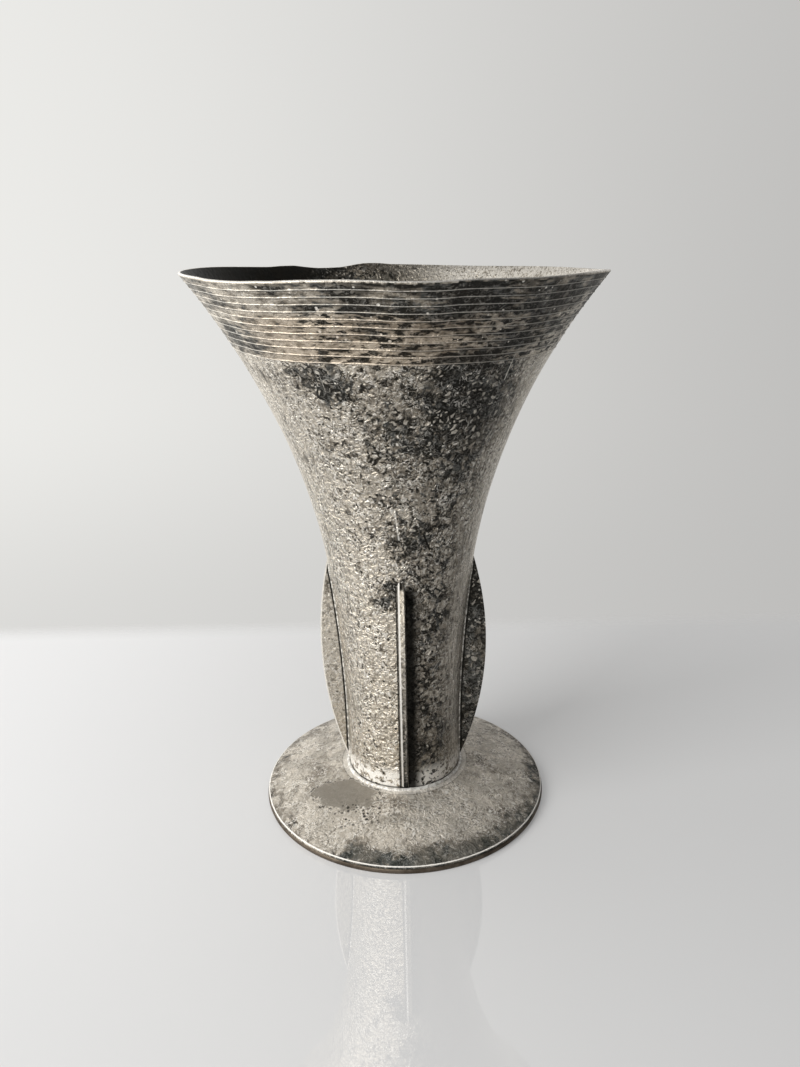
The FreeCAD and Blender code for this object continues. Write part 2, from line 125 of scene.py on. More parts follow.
class VaseColours(bpy.types.PropertyGroup):
    """Colours of the aged silver plate."""

    silver: tint("Silver", "Clean, rubbed plate", 0.96, 0.92, 0.85)
    pale: tint("Pale plate", "Plate with the thinnest tarnish", 0.67, 0.61, 0.52)
    warm: tint("Warm plate", "Tan tarnish", 0.35, 0.308, 0.252)
    stained: tint("Stained plate", "Matt patches and the stain on the foot", 0.27, 0.245, 0.205)
    grey: tint("Grey plate", "Brownish grey tarnish", 0.135, 0.121, 0.1)
    cool: tint("Cool plate", "Bluish grey tarnish", 0.11, 0.111, 0.105)
    tarnish: tint("Tarnish", "Black tarnish", 0.02, 0.019, 0.016)
    # Also paints the shadow on the stem beside the front fin
    crevice_and_shadow: tint("Crevice", "Tarnish that is never rubbed", 0.008, 0.008, 0.007)
    pale_floor: tint("Floor", "Pale table", 0.62, 0.617, 0.61)


class VaseStudio(bpy.types.PropertyGroup):
    """The camera, the light and the table."""

    lens: number("Lens", "Focal length for a 36 mm long side", 29.04, unit="CAMERA")
    distance: length("Distance", "Camera to the vase's axis", 300.82)
    height: length("Height", "Camera above the table", 209.565)
    pitch: incline("Pitch", "How far the camera looks down", 18.849)
    yaw: incline("Yaw", "How far the camera turns left", 0.103)
    roll: incline("Roll", "How far the camera rolls", -0.853)
    lean: incline("Lean", "Lean of the view about the vase's foot", -0.32)
    key_power: number("Key power", "Power of the soft light at the left", 7.0, unit="POWER")
    fill_power: number("Fill power", "Power of the soft light above", 0.8, unit="POWER")
    table_edge: length("Table edge", "How far behind the axis the table meets the backdrop", 149)


def math_method(operation, reflected=False):
    """A method of a wire that adds one Math node."""
    def method(self, other):
        return self.graph.maths(operation, *((other, self) if reflected else (self, other)))
    return method


class Wire:
    """A socket of a node tree. Arithmetic on wires adds Math nodes."""

    __add__ = __radd__ = math_method("ADD")
    __mul__ = __rmul__ = math_method("MULTIPLY")
    __sub__ = math_method("SUBTRACT")
    __rsub__ = math_method("SUBTRACT", reflected=True)
    __truediv__ = math_method("DIVIDE")
    __rtruediv__ = math_method("DIVIDE", reflected=True)
    __lt__ = math_method("LESS_THAN")
    __gt__ = math_method("GREATER_THAN")
    least = math_method("MINIMUM")
    most = math_method("MAXIMUM")

    def __init__(self, graph, socket):
        self.graph = graph
        self.socket = socket

    def maths(self, operation, *others):
        return self.graph.maths(operation, self, *others)

    def size(self):
        return self.maths("ABSOLUTE")

    def between(self, low, high):
        """0 below low, 1 above high, and smooth between them."""
        return self.graph.add("ShaderNodeMapRange", {"interpolation_type": "SMOOTHSTEP"},
                              {"Value": self, "From Min": low, "From Max": high}, "Result")

    def below(self, low, high):
        """1 below low, 0 above high, and smooth between them."""
        return 1 - self.between(low, high)

    def within(self, low, low_end, high, high_end):
        """1 from low_end to high, 0 below low and above high_end, and smooth between them."""
        return self.between(low, low_end) * self.below(high, high_end)

    def near(self, centre, reach, flat=0.0):
        """1 at the centre, and out to a flat share of the reach; 0 at the reach on either side."""
        return (self - centre).size().below(flat * reach, reach)


class Graph:
    """Adds nodes to one tree and gives back their sockets as wires."""

    def __init__(self, tree):
        self.tree = tree

    def add(self, kind, settings=None, values=None, output=0):
        """Add a node: its settings first, then the values or links of its sockets."""
        node = self.tree.nodes.new(kind)
        for key, value in (settings or {}).items():
            setattr(node, key, value)
        for key, value in (values or {}).items():
            if isinstance(value, Wire):
                self.tree.links.new(value.socket, node.inputs[key])
            else:
                node.inputs[key].default_value = value
        if isinstance(output, tuple):
            return tuple(Wire(self, node.outputs[name]) for name in output)
        return Wire(self, node.outputs[output]) if len(node.outputs) else node

    def maths(self, operation, *values):
        return self.add("ShaderNodeMath", {"operation": operation}, dict(enumerate(values)))

    def vector(self, operation, first, second=None, output="Vector"):
        values = {0: first}
        if second is not None:
            values["Scale" if operation == "SCALE" else 1] = second
        return self.add("ShaderNodeVectorMath", {"operation": operation}, values, output)

    def distance(self, first, second):
        return self.vector("DISTANCE", first, second, "Value")

    def split(self, vector):
        return self.add("ShaderNodeSeparateXYZ", {}, {0: vector}, (0, 1, 2))

    def join(self, x, y, z):
        return self.add("ShaderNodeCombineXYZ", {}, {0: x, 1: y, 2: z})

    def place(self):
        return self.add("ShaderNodeTexCoord", {}, {}, "Object")

    def place_and_parts(self):
        """A point's place, its three parts, and its distance from the axis."""
        place = self.place()
        x, y, z = self.split(place)
        return place, x, y, z, (x * x + y * y).maths("SQRT")

    def blend(self, share, first, second, mode="MIX"):
        """Mix two colours."""
        return self.add("ShaderNodeMix", {"data_type": "RGBA", "blend_type": mode},
                        {0: share, 6: colour(first), 7: colour(second)}, 2)

    def coats(self, base, *coats):
        """Lay colours over a base, each after the share that it covers."""
        for share, shade in coats:
            base = self.blend(share, base, shade)
        return base

    def noise(self, place, grain, detail=3, roughness=0.55, distortion=0.0, seed=0):
        """Noise whose blotches are about one grain across."""
        shifted = self.vector("ADD", place, (seed * 0.37, seed * 0.71, seed * 0.53))
        return self.add("ShaderNodeTexNoise", {}, {"Vector": shifted, "Scale": 1 / grain, "Detail": detail,
                                                   "Roughness": roughness, "Distortion": distortion})

    def wander(self, place, grain, detail, reach):
        """A place pushed about by noise, by half a reach at most."""
        drift = self.add("ShaderNodeTexNoise", {}, {"Vector": place, "Scale": 1 / grain, "Detail": detail}, "Color")
        drift = self.vector("SUBTRACT", drift, (0.5, 0.5, 0.5))
        return self.vector("ADD", place, self.vector("SCALE", drift, reach))

    def dots(self, place, spacing, radius, share, seed=0):
        """Round dots at random places: 1 in a dot, 0 outside; only a share of the cells hold one."""
        shifted = self.vector("ADD", place, (seed * 0.41, seed * 0.67, seed * 0.59))
        distance, cell = self.add("ShaderNodeTexVoronoi", {"feature": "F1"},
                                  {"Vector": shifted, "Scale": 1 / spacing}, ("Distance", "Color"))
        red, green, _ = self.add("ShaderNodeSeparateColor", {}, {0: cell}, (0, 1, 2))
        inside = (distance / ((0.5 + green) * (radius / spacing))).below(0.6, 1.1)
        return inside * red.below(share, share + 0.01)


def colour(value):
    """Give a colour its alpha, and leave wires alone."""
    return value if isinstance(value, Wire) else tuple(value)[:3] + (1,)


def new_material(name):
    """A material with an empty tree, and the graph that fills it."""
    material = bpy.data.materials.new(name)
    material.use_nodes = True
    material.node_tree.nodes.clear()
    return material, Graph(material.node_tree)


def finish_metal(graph, base, metallic, roughness, height, depth):
    """Close a metal: a principled surface with bump from one height."""
    normal = graph.add("ShaderNodeBump", {}, {"Strength": 1.0, "Distance": depth, "Height": height}, "Normal")
    surface = graph.add("ShaderNodeBsdfPrincipled", {},
                        {"Base Color": base, "Metallic": metallic, "Roughness": roughness, "Normal": normal,
                         "Specular IOR Level": 0.06})
    graph.add("ShaderNodeOutputMaterial", {}, {"Surface": surface})


def plate(graph, colours, place, tarnish, wear, cells=None, relief=1.0, contrast=1.0, pebbles=1.0):
    """The patina that all the plated pieces share.

    Tarnish and wear say, from 0 to 1, how black and how rubbed a place is; cells is the noise that
    islands of tarnish follow, contrast how far they differ, relief how strong the worm-like marks are,
    which are painted highlight and painted shade lines with a bump, and pebbles how strong the patches
    of small light islands are.
    """
    wandered = graph.wander(place, 2.4 * MM, 1.0, 3.0 * MM)
    if cells is None:
        cells = graph.noise(wandered, 3.2 * MM, 1.5, 0.5, 0.0, 1)
    cloud = graph.noise(place, 9 * MM, 2, 0.55, 0.5, 2)
    level = tarnish * 0.9 + (cells - 0.5) * 1.55 * contrast + (cloud - 0.5) * 0.4
    tan = level.between(0.02, 0.32)
    brown = level.between(0.34, 0.58)
    black = level.between(0.66, 0.75)
    # Small light islands with black between them, in patches of deeper tarnish
    crowd = {"Vector": wandered, "Scale": 1 / (2.0 * MM)}
    rim = graph.add("ShaderNodeTexVoronoi", {"feature": "DISTANCE_TO_EDGE"}, crowd, "Distance")
    choice = graph.add("ShaderNodeTexVoronoi", {"feature": "F1"}, crowd, "Color")
    choice, other, _ = graph.add("ShaderNodeSeparateColor", {}, {0: choice}, (0, 1, 2))
    patch = graph.noise(place, 6 * MM, 2, 0.5, 0.5, 8).between(0.42, 0.52) * level.between(0.12, 0.4) * pebbles
    gap = rim.below(0.07, 0.15) * patch * other.between(0.1, 0.25)
    island = rim.between(0.16, 0.24) * choice.between(0.45, 0.6) * patch
    hole = rim.between(0.08, 0.16) * choice.below(0.22, 0.24) * level.between(0.05, 0.3) * pebbles
    # Worm-like marks: a light line beside a dark one, as if pressed into the plate: a painted highlight beside
    # painted shade, with small painted glints and dark specks
    marks = graph.noise(wandered, 1.6 * MM, 0.8, 0.5, 0.8, 3)
    fine = graph.noise(wandered, 0.9 * MM, 1.0, 0.5, 0.5, 5)
    busy = 0.25 + 0.75 * graph.noise(place, 5.5 * MM, 2, 0.5, 0.3, 4).between(0.42, 0.55)
    ridge_highlight = fine.between(0.595, 0.625) * (0.55 + 0.65 * busy) * (1 - 0.7 * brown)
    ridge_highlight = (marks.near(0.565, 0.036, 0.4) * busy).most(ridge_highlight) * relief * (1 - 0.55 * patch)
    crease_shade = fine.below(0.36, 0.39) * (0.3 + 0.8 * busy)
    crease_shade = (marks.near(0.46, 0.036, 0.4) * busy).most(crease_shade) * relief * (1 - 0.65 * patch)
    dark = (gap * 0.95).most(hole * 0.95).most(crease_shade * (0.85 + 0.15 * tan)).least(1.0)
    pits = graph.dots(place, 2.1 * MM, 0.44 * MM, 0.3, 6) * pebbles
    flecks = graph.dots(place, 1.9 * MM, 0.34 * MM, 0.34, 7) * pebbles
    hue = graph.noise(place, 7 * MM, 2, 0.5, 0.0, 10).between(0.46, 0.56)
    base = graph.coats(
        colours.pale, (tan, colours.warm), (brown, graph.blend(hue, colours.grey, colours.cool)),
        (black * 0.9, colours.tarnish), (island * 0.85, graph.blend(0.3, colours.pale, colours.silver)),
        (dark, colours.tarnish), ((ridge_highlight * (1.0 - 0.4 * brown)).least(1.0), colours.silver),
        (pits * 0.9, colours.tarnish), (flecks * 0.8, colours.silver), (wear * 0.95, colours.silver))
    bare = 1 - wear
    covered = (black + 0.4 * brown + 0.6 * pits + 0.4 * gap).least(1.0) * bare
    metallic = 0.94 - 0.3 * covered - 0.38 * wear
    roughness = 0.27 + 0.14 * covered + 0.05 * tan
    height = 1.4 * marks + 0.5 * fine + 0.6 * cells + 0.5 * island - 0.4 * gap - 0.5 * pits + 0.5 * flecks
    return base, metallic, roughness, (height - 1.1) * (0.3 + 0.7 * bare) * (0.3 + 0.7 * relief)


# The darkest smudges on the body: direction in degrees, height and reach in millimetres, and strength
BODY_SMUDGES = (
    (243, 171, 15, 0.75), (300, 160, 28, 0.35), (272, 150, 20, 0.2), (261, 93, 9, 0.9), (278, 114, 13, 0.3),
    (290, 172, 16, 0.3), (262, 190, 16, 0.25), (288, 196, 20, 0.3), (316, 192, 22, 0.3), (214, 186, 11, 0.4),
    (222, 172, 9, 0.3), (236, 190, 12, 0.3), (60, 145, 40, 0.35), (105, 95, 24, 0.3), (20, 120, 30, 0.2),
)
# Scratches on the body: both ends as a direction in degrees and a height, the width, all in millimetres,
# and 1 for bright or 0 for dark
BODY_SCRATCHES = (
    ((267.5, 126), (269.5, 115), 0.4, 1), ((245, 180), (245.5, 165), 0.35, 1),
    ((309, 181), (310, 169), 0.45, 1), ((285.5, 116), (290, 110.5), 0.5, 0),
)


def round_point(radius, angle, height):
    """A point at a radius, an angle and a height."""
    return Vector((radius * math.cos(angle), radius * math.sin(angle), height))


def smudges(graph, place, spots):
    """Soft smudges of tarnish."""
    total = 0
    wandered = graph.wander(place, 14 * MM, 3.0, 14 * MM)
    for direction, height, reach, strength in spots:
        radius = 25 + max(height - 97, 0) * 0.35
        centre = round_point(radius, math.radians(direction), height) * MM
        total = total + strength * graph.distance(wandered, centre).below(0.15 * reach * MM, reach * MM)
    return total


def wall_spot(sizes, direction, height):
    """The point of the body's outside in a direction in degrees and at a height in millimetres."""
    radius = wall_radius(wall_stations(sizes), height * MM, sizes.wall / 2)
    return round_point(radius, math.radians(direction), height * MM)


def scratch_line(graph, place, start, end, width):
    """1 along a straight scratch between two points, and 0 beyond half its width."""
    run = end - start
    offset = graph.vector("SUBTRACT", place, start)
    share = (graph.vector("DOT_PRODUCT", offset, run, "Value") / run.length_squared).most(0.0).least(1.0)
    away = graph.distance(offset, graph.vector("SCALE", run, share))
    return away.below(width * 0.5, width * 0.8)


def body_material(sizes, colours):
    """The spun body: mottled plate, dark dashes between the threads, bright along them."""
    material, graph = new_material("aged_silver_body")
    place, x, y, z, radius = graph.place_and_parts()
    wear, along, outside = (graph.add("ShaderNodeAttribute", {"attribute_name": name}, {}, "Fac")
                            for name in ("wear", "along", "outside"))
    inside = 1 - outside
    round_x, round_y = x / radius, y / radius
    # 0 at the left and 1 at the right of the front view
    right = round_x * 0.5 + 0.5
    at_side = round_x.size().between(0.5, 0.85)
    cloud = graph.noise(place, 22 * MM, 3, 0.55, 0.4, 11)
    low = z.below(85 * MM, 130 * MM)
    tarnish = 0.36 * right.between(0.15 + 0.3 * low, 0.58 + 0.04 * low) + 0.1 * right.between(0.6, 0.72)
    tarnish = tarnish - 0.4 * right.between(0.76, 0.97) + (cloud - 0.5) * 0.45
    tarnish = tarnish + smudges(graph, place, BODY_SMUDGES) + 0.1 * z.below(30 * MM, 60 * MM)
    # Islands of tarnish run round the threads, and up the flare at the sides
    field = outside * along.within(0.02 * MM, 0.25 * MM, *THREADS_END)
    turn = graph.join(round_x, round_y, along * 45.0)
    dashes = graph.noise(turn, 0.06, 2, 0.5, 0.3, 12)
    streaks = graph.noise(graph.join(round_x, round_y, z * 7.0), 0.05, 2, 0.5, 0.4, 13)
    islands = graph.noise(place, 3.0 * MM, 1.5, 0.5, 1.2, 1)
    cells = islands + (streaks - islands) * at_side * 0.85
    cells = cells + (dashes - cells) * field * 0.9
    # From one thread, at 0, to the next, at 1
    band = (along / sizes.thread_pitch + (1 - sizes.thread_margin / sizes.thread_pitch)).maths("FRACT")
    dash = band.within(0.12, 0.2, 0.8, 0.88) * dashes.between(0.5, 0.57)
    dash = dash * along.between(6 * MM, 12 * MM) * right.between(0.25, 0.35)
    upper = along.below(9 * MM, 13 * MM)
    mood = graph.noise(turn, 0.22, 2, 0.5, 0.0, 16)
    # Painted shade: the band just below each thread, and a little above it, is darkened where the raised thread
    # shades it
    tarnish = tarnish + field * (
        0.65 * dash + 0.3 * upper * right.between(0.2, 0.33) + (mood - 0.5) * 2.0 + 0.02
        + 0.5 * band.near(0.16, 0.06) + 0.2 * band.near(0.85, 0.05)
        + 0.42 * right.below(0.08, 0.24) + 0.34 * right.between(0.85, 0.97))
    tarnish = tarnish + 0.9 * right.between(0.97, 0.99) * z.between(187 * MM, 193 * MM)
    # Inside, painted shade and reflection: the plate is black at the left, which faces away from the light, mottled
    # in the middle, and clean but scratched at the right, which mirrors the light
    slant = graph.add("ShaderNodeMapping", {},
                      {"Vector": place, "Rotation": (0.5, 0.6, 0.9), "Scale": (1, 1, 0.12)})
    scratch = (graph.noise(slant, 1.3 * MM, 2, 0.5, 0.4, 17) - 0.5).size().between(0.0, 0.06)
    inner = 1.35 - 0.8 * (right + (cloud - 0.5) * 0.5).between(0.2, 0.42)
    inner = inner - 0.62 * (right + (cloud - 0.5) * 0.3).between(0.36, 0.6)
    inner = inner + 0.8 * (0.5 - scratch) * right.between(0.5, 0.6)
    tarnish = (outside * tarnish + inside * inner).most(0.0).least(1.2)
    patchy = graph.noise(place, 1.2 * MM, 3, 0.6, 0.5, 14)
    strokes = graph.noise(place, 2.2 * MM, 2, 0.5, 0.6, 15)
    low_polish = z.below(16.5 * MM, 22.5 * MM) * outside * (strokes * 0.6 + patchy * 0.4).between(0.45, 0.49)
    lip = along.below(0.1 * MM, 0.4 * MM)
    # Painted shade: the worn lip and thread lines are dimmer towards the right, away from the light
    worn = wear * (1 - 0.3 * right.between(0.55, 0.8)) * lip.most(0.45 + 0.55 * patchy.between(0.3, 0.45))
    # Painted reflection: inside at the right, the scratches are made bright like rubbed silver
    worn = worn.most(inside * right.between(0.5, 0.7) * scratch * 0.7)
    relief = (0.95 - 0.65 * field) * (1 - 0.45 * low * right.between(0.55, 0.8)) * outside
    relief = relief * (0.15 + 0.85 * along.between(0.2 * MM, 1.4 * MM))
    relief = relief + inside * (0.5 * right.between(0.2, 0.45) - 0.3 * right.between(0.5, 0.65))
    contrast = (1 - 0.5 * right.between(0.72, 0.95)) * (1 + 0.3 * field)
    pebbles = outside.most(right.between(0.22, 0.4) * (1 - 0.6 * right.between(0.5, 0.65)))
    pebbles = pebbles * (1 - 0.75 * field) * (1 - 0.4 * at_side)
    base, metallic, roughness, height = plate(graph, colours, place, tarnish, worn.most(low_polish), cells, relief,
                                              contrast, pebbles)
    # Tarnish in the corners by the fins and at the stem's foot, and the painted shadow beside the front fin
    crevice_and_shadow = fin_crevice_and_shadow(x, y, z, sizes).most(z.below(12 * MM, 12.8 * MM) * 0.85) * outside
    thin = graph.noise(graph.join(round_x, round_y, z * 3.0), 0.035, 2, 0.5, 0.5, 18)
    brushed = at_side * outside * (1 - field * 0.6) * (1 - worn)
    dots = graph.dots(place, 2.4 * MM, 0.38 * MM, 0.5, 19) * field * along.below(20 * MM, 26 * MM)
    base = graph.coats(base, (crevice_and_shadow, colours.crevice_and_shadow), (thin.near(0.42, 0.025) * brushed * 0.55, colours.tarnish),
                       (thin.near(0.56, 0.025) * brushed * 0.5, colours.silver), (dots * 0.9, colours.silver))
    rosy = field * along.between(8 * MM, 14 * MM) * right.within(0.08, 0.25, 0.6, 0.8)
    base = graph.blend(rosy * 0.8, base, (1.0, 0.92, 0.84), "MULTIPLY")
    for start, end, width, bright in BODY_SCRATCHES:
        mark = scratch_line(graph, place, wall_spot(sizes, *start), wall_spot(sizes, *end), width * MM) * outside
        base = graph.blend(mark, base, colours.silver if bright else colours.tarnish)
    finish_metal(graph, base, metallic - 0.35 * low_polish, roughness, height, 0.5 * MM)
    return material


def fin_crevice_and_shadow(x, y, z, sizes):
    """Dark tarnish in the corners beside the fins, and a painted shadow, widest on the shaded side of the front
    fin.
    """
    beside = x.size().least(y.size()).below(FIN_HALF + 0.5 * MM, FIN_HALF + 1.0 * MM)
    # Painted shadow: a dark band on the stem to the right of the front fin
    shaded = x.within(FIN_HALF - 0.5 * MM, FIN_HALF, FIN_HALF + 2.2 * MM, FIN_HALF + 7 * MM)
    return beside.most(shaded * (y < 0.0) * 0.97) * z.below(sizes.fin_top - 4 * MM, sizes.fin_top)


def foot_material(sizes, colours):
    """The foot: matt warm grey, a smooth stain at the front left and dark towards the edge."""
    material, graph = new_material("aged_silver_foot")
    place, x, y, _, radius = graph.place_and_parts()
    edge = FOOT_HIGH.x
    cloud = graph.noise(place, 16 * MM, 4, 0.55, 0.3, 21)
    rim = (radius + (cloud - 0.5) * 14 * MM).between(edge - 9 * MM, edge - 2 * MM)
    shaded = (x * 5 - y * 9 + (cloud - 0.5)).between(0.0, 0.45)
    tarnish = 0.06 + 0.9 * (cloud - 0.5) + rim * (0.2 + 0.42 * shaded)
    wear = radius.within(edge - 0.55 * MM, edge - 0.35 * MM, edge - 0.12 * MM, edge)
    base, metallic, roughness, height = plate(graph, colours, place, tarnish.most(0.0), wear, None, 0.65,
                                              0.4 + 0.7 * rim, 0.35)
    toned = graph.noise(place, 11 * MM, 2, 0.5, 0.6, 22).between(0.46, 0.6) * 0.35
    stain, line = foot_stain(graph, place)
    # A pale land round the stem, with a dark line where it ends
    land = radius - sizes.stem_radius - FOOT_LAND
    # Pits just in front of the stain
    pits = graph.dots(place, 1.6 * MM, 0.52 * MM, 0.75, 24) * (y + 32.5 * MM).size().below(3 * MM, 8 * MM)
    pits = pits * (x + 16 * MM).size().below(6 * MM, 20 * MM)
    base = graph.coats(
        base, (rim * shaded * 0.4 * (1 - wear), (0.06, 0.068, 0.058)), (toned * (1 - wear), colours.stained),
        (land.below(-0.8 * MM, -0.4 * MM) * 0.35, colours.silver),
        (land.near(-0.4 * MM, 0.35 * MM) * 0.3, colours.tarnish), (stain * 0.88, colours.stained),
        (line * 0.8, colours.tarnish), (pits * 0.9, colours.tarnish))
    finish_metal(graph, base, metallic - 0.62, roughness + 0.1, height * (1 - 0.75 * stain), 0.5 * MM)
    return material


def foot_stain(graph, place):
    """A smooth oval stain on the foot, and the broken dark line along its edge."""
    local = graph.add("ShaderNodeMapping", {"vector_type": "TEXTURE"},
                      {"Vector": graph.wander(place, 5 * MM, 2.0, 9 * MM),
                       "Location": (-22.0 * MM, -21.5 * MM, 0), "Rotation": (0, 0, math.radians(-16)),
                       "Scale": (16.0 * MM, 8.5 * MM, 20 * MM)})
    away = graph.vector("LENGTH", local, None, "Value")
    broken = graph.noise(place, 1.3 * MM, 2, 0.5, 0, 23).between(0.5, 0.6)
    return away.below(0.85, 0.97), away.near(0.98, 0.08) * broken


def small_metal(name, base_colour, shadow_colour, grain, roughness, depth, metallic=0.92):
    """A plain aged metal for wire, solder and the inner floor."""
    material, graph = new_material(name)
    place = graph.place()
    patches = graph.noise(place, grain, 4, 0.6, 0.5, 31)
    flecks = graph.dots(place, grain * 0.8, grain * 0.15, 0.35, 32)
    base = graph.coats(base_colour, (patches.between(0.42, 0.6), shadow_colour), (flecks * 0.8, shadow_colour))
    finish_metal(graph, base, metallic, patches * 0.2 + roughness, patches - flecks, depth)
    return material


def fin_material(sizes, colours):
    """The fins: mottled faces, dark towards the foot as painted shade, and worn, bright arrises, kept dimmer on the
    right as painted shade and bright along the left fin's outline as a painted highlight.
    """
    material, graph = new_material("aged_silver_fin")
    place, x, y, z, radius = graph.place_and_parts()
    right = x / radius * 0.5 + 0.5
    # The distance from the fin's middle plane says whether a point is on its edge, an arris or a face
    across = x.size().least(y.size())
    half = FIN_HALF - FIN_WORN
    inner = half - sizes.fin_arris
    arris = across.within(inner - 0.05 * MM, inner + 0.05 * MM, half - 0.05 * MM, half - 0.01 * MM)
    # Painted shade: the right arris of the front fin is darkened along with its face
    right_arris = (x > 0.0) * (x < 2 * MM) * (across < half)
    face_and_right_arris = across.below(inner, inner + 0.05 * MM).most(right_arris)
    patchy = graph.noise(place, 1.5 * MM, 3, 0.6, 0.5, 42).between(0.3, 0.42)
    front = x.size() < 2 * MM
    # Painted highlight and shade: arrises are brightest on the left, towards the light, and dimmer on the right,
    # dimmest on the front fin
    wear = arris * (1 - (0.5 + 0.4 * front) * (x > 0.0)) * (0.85 + 0.15 * patchy)
    # A painted highlight: the bowed edge of the left fin is made bright along the outline of its face, where it
    # catches the light
    centre, bow = fin_bow(sizes, FINS["left"][1])
    reach_x, reach_z = radius - centre[0], z - centre[1]
    edge_gap = bow - (reach_x * reach_x + reach_z * reach_z).maths("SQRT")
    wear = wear.most(edge_gap.below(0.3 * MM, 0.6 * MM) * (x < -10 * MM) * 0.9)
    cloud = graph.noise(place, 10 * MM, 3, 0.55, 0.3, 41)
    tarnish = 0.74 * right.between(0.6, 0.95) + (cloud - 0.5) * 0.4 + 0.35 * z.between(70 * MM, 90 * MM)
    # Painted shade: the narrow edge face between the arrises darkens towards the foot, as it faces down
    narrow = 0.95 - 0.9 * z.between(0.0, 95 * MM) + (cloud - 0.5) * 0.5
    tarnish = (tarnish + (narrow - tarnish) * face_and_right_arris).most(0.0).least(1.0)
    cells = graph.noise(place, 1.6 * MM, 2, 0.5, 0.8, 43)
    base, metallic, roughness, height = plate(graph, colours, place, tarnish, wear, cells, 0.6, 0.6, 0.7)
    # The corner between a fin and the body has never been rubbed clean
    rise = (z - sizes.flare_start).most(0.0)
    wall = sizes.stem_radius + rise * rise / (2 * wall_stations(sizes)["lower_radius"])
    root = (radius - wall).below(0.9 * MM, 1.5 * MM)
    base = graph.blend(root * (1 - wear), base, colours.tarnish)
    finish_metal(graph, base, metallic - 0.45 * wear, roughness, height, 0.2 * MM)
    return material


def wall_stations(sizes):
    """The middle of the body's sheet: a straight stem and two tangent arcs, as angles and centres."""
    half = sizes.wall / 2
    stem = sizes.stem_radius - half
    rise = sizes.flare_join - sizes.flare_start
    lower_turn = 2 * math.atan(sizes.lower_flare / rise)
    lower_radius = (sizes.lower_flare ** 2 + rise ** 2) / (2 * sizes.lower_flare)
    join = stem + sizes.lower_flare
    spread_out = BODY_HIGH.x - half - join
    climb = BODY_HIGH.z - half - sizes.flare_join
    upper_turn = 2 * math.atan(spread_out / climb) - lower_turn
    upper_radius = math.hypot(spread_out, climb) / (2 * math.sin((upper_turn - lower_turn) / 2))
    return {
        "stem": stem, "start": sizes.flare_start, "lower_turn": lower_turn, "lower_radius": lower_radius,
        "upper_turn": upper_turn, "upper_radius": upper_radius,
        "centre_x": join + upper_radius * math.cos(lower_turn),
        "centre_z": sizes.flare_join - upper_radius * math.sin(lower_turn),
    }


def upper_point(wall, turn, depth):
    """A point on the upper arc, at a turn from upright and a depth outside the middle of the sheet."""
    reach = wall["upper_radius"] - depth
    return wall["centre_x"] - reach * math.cos(turn), wall["centre_z"] + reach * math.sin(turn)


def lower_point(wall, turn, depth):
    """A point on the lower arc."""
    reach = wall["lower_radius"] - depth
    return wall["stem"] + wall["lower_radius"] - reach * math.cos(turn), wall["start"] + reach * math.sin(turn)


def wall_radius(wall, height, depth):
    """The wall's radius at a height, outside the middle of the sheet by a depth."""
    if height <= wall["start"]:
        return wall["stem"] + depth
    reach = wall["lower_radius"] - depth
    join = wall["centre_z"] + (wall["upper_radius"] - depth) * math.sin(wall["lower_turn"])
    if height <= join:
        return wall["stem"] + wall["lower_radius"] - math.sqrt(reach ** 2 - (height - wall["start"]) ** 2)
    reach = wall["upper_radius"] - depth
    return wall["centre_x"] - math.sqrt(reach ** 2 - (height - wall["centre_z"]) ** 2)


def spread(low, high, count):
    """Evenly spaced values from low to high, both included."""
    return [low + (high - low) * step / (count - 1) for step in range(count)]


def thread_swell(along, sizes):
    """How far the threads lift the wall at a distance from the lip, from 0 to 1."""
    place = (along - sizes.thread_margin) / sizes.thread_pitch
    nearest = min(max(round(place), 0), sizes.thread_count - 1)
    away = abs(place - nearest) * sizes.thread_pitch / (sizes.thread_width / 2)
    return 0.5 + 0.5 * math.cos(math.pi * away) if away < 1 else 0.0


def thread_rings(sizes):
    """Distances from the lip where the threaded wall has a ring: close over a thread, wide between two."""
    half = sizes.thread_width / 2
    rings = spread(0, sizes.thread_margin - half, 6)[:-1]
    for thread in range(sizes.thread_count):
        centre = sizes.thread_margin + thread * sizes.thread_pitch
        rings += spread(centre - half, centre + half, 9)
        rings += spread(centre + half, centre + sizes.thread_pitch - half, 6)[1:-1]
    return rings


def body_profile(sizes):
    """The body's closed section: each point's place, wear, 1 outside or 0 inside, and distance from the lip.

    The distance matters only near the lip, so it is a metre everywhere else.
    """
    wall = wall_stations(sizes)
    half = sizes.wall / 2
    seat = BODY_LOW.z
    rows = [((wall["stem"] + half, height), 0, 1, 1) for height in spread(seat, wall["start"], 8)]
    rows += [(lower_point(wall, turn, half), 0, 1, 1) for turn in spread(0, wall["lower_turn"], 22)[1:]]
    outer = wall["upper_radius"] - half
    reach = (wall["upper_turn"] - wall["lower_turn"]) * outer
    rings = thread_rings(sizes)
    for along in spread(reach, rings[-1], 28)[1:-1] + rings[::-1]:
        swell = thread_swell(along, sizes)
        turn = wall["upper_turn"] - along / outer
        rows.append((upper_point(wall, turn, half + swell * sizes.thread_height), 0.95 * swell ** 2, 1, along))
    lip = upper_point(wall, wall["upper_turn"], 0)
    for angle in spread(0, math.pi, 7)[1:-1]:
        turn = angle - wall["upper_turn"]
        worn = 0.9 if angle > math.pi / 4 else 0
        rows.append(((lip[0] + half * math.cos(turn), lip[1] + half * math.sin(turn)), worn, 1, 0))
    turns = spread(wall["upper_turn"], wall["lower_turn"], 40)
    rows += [(upper_point(wall, turn, -half), 0, 0, 1) for turn in turns]
    rows += [(lower_point(wall, turn, -half), 0, 0, 1) for turn in spread(wall["lower_turn"], 0, 14)[1:]]
    rows += [((wall["stem"] - half, height), 0, 0, 1) for height in spread(wall["start"], seat, 5)[1:]]
    return rows


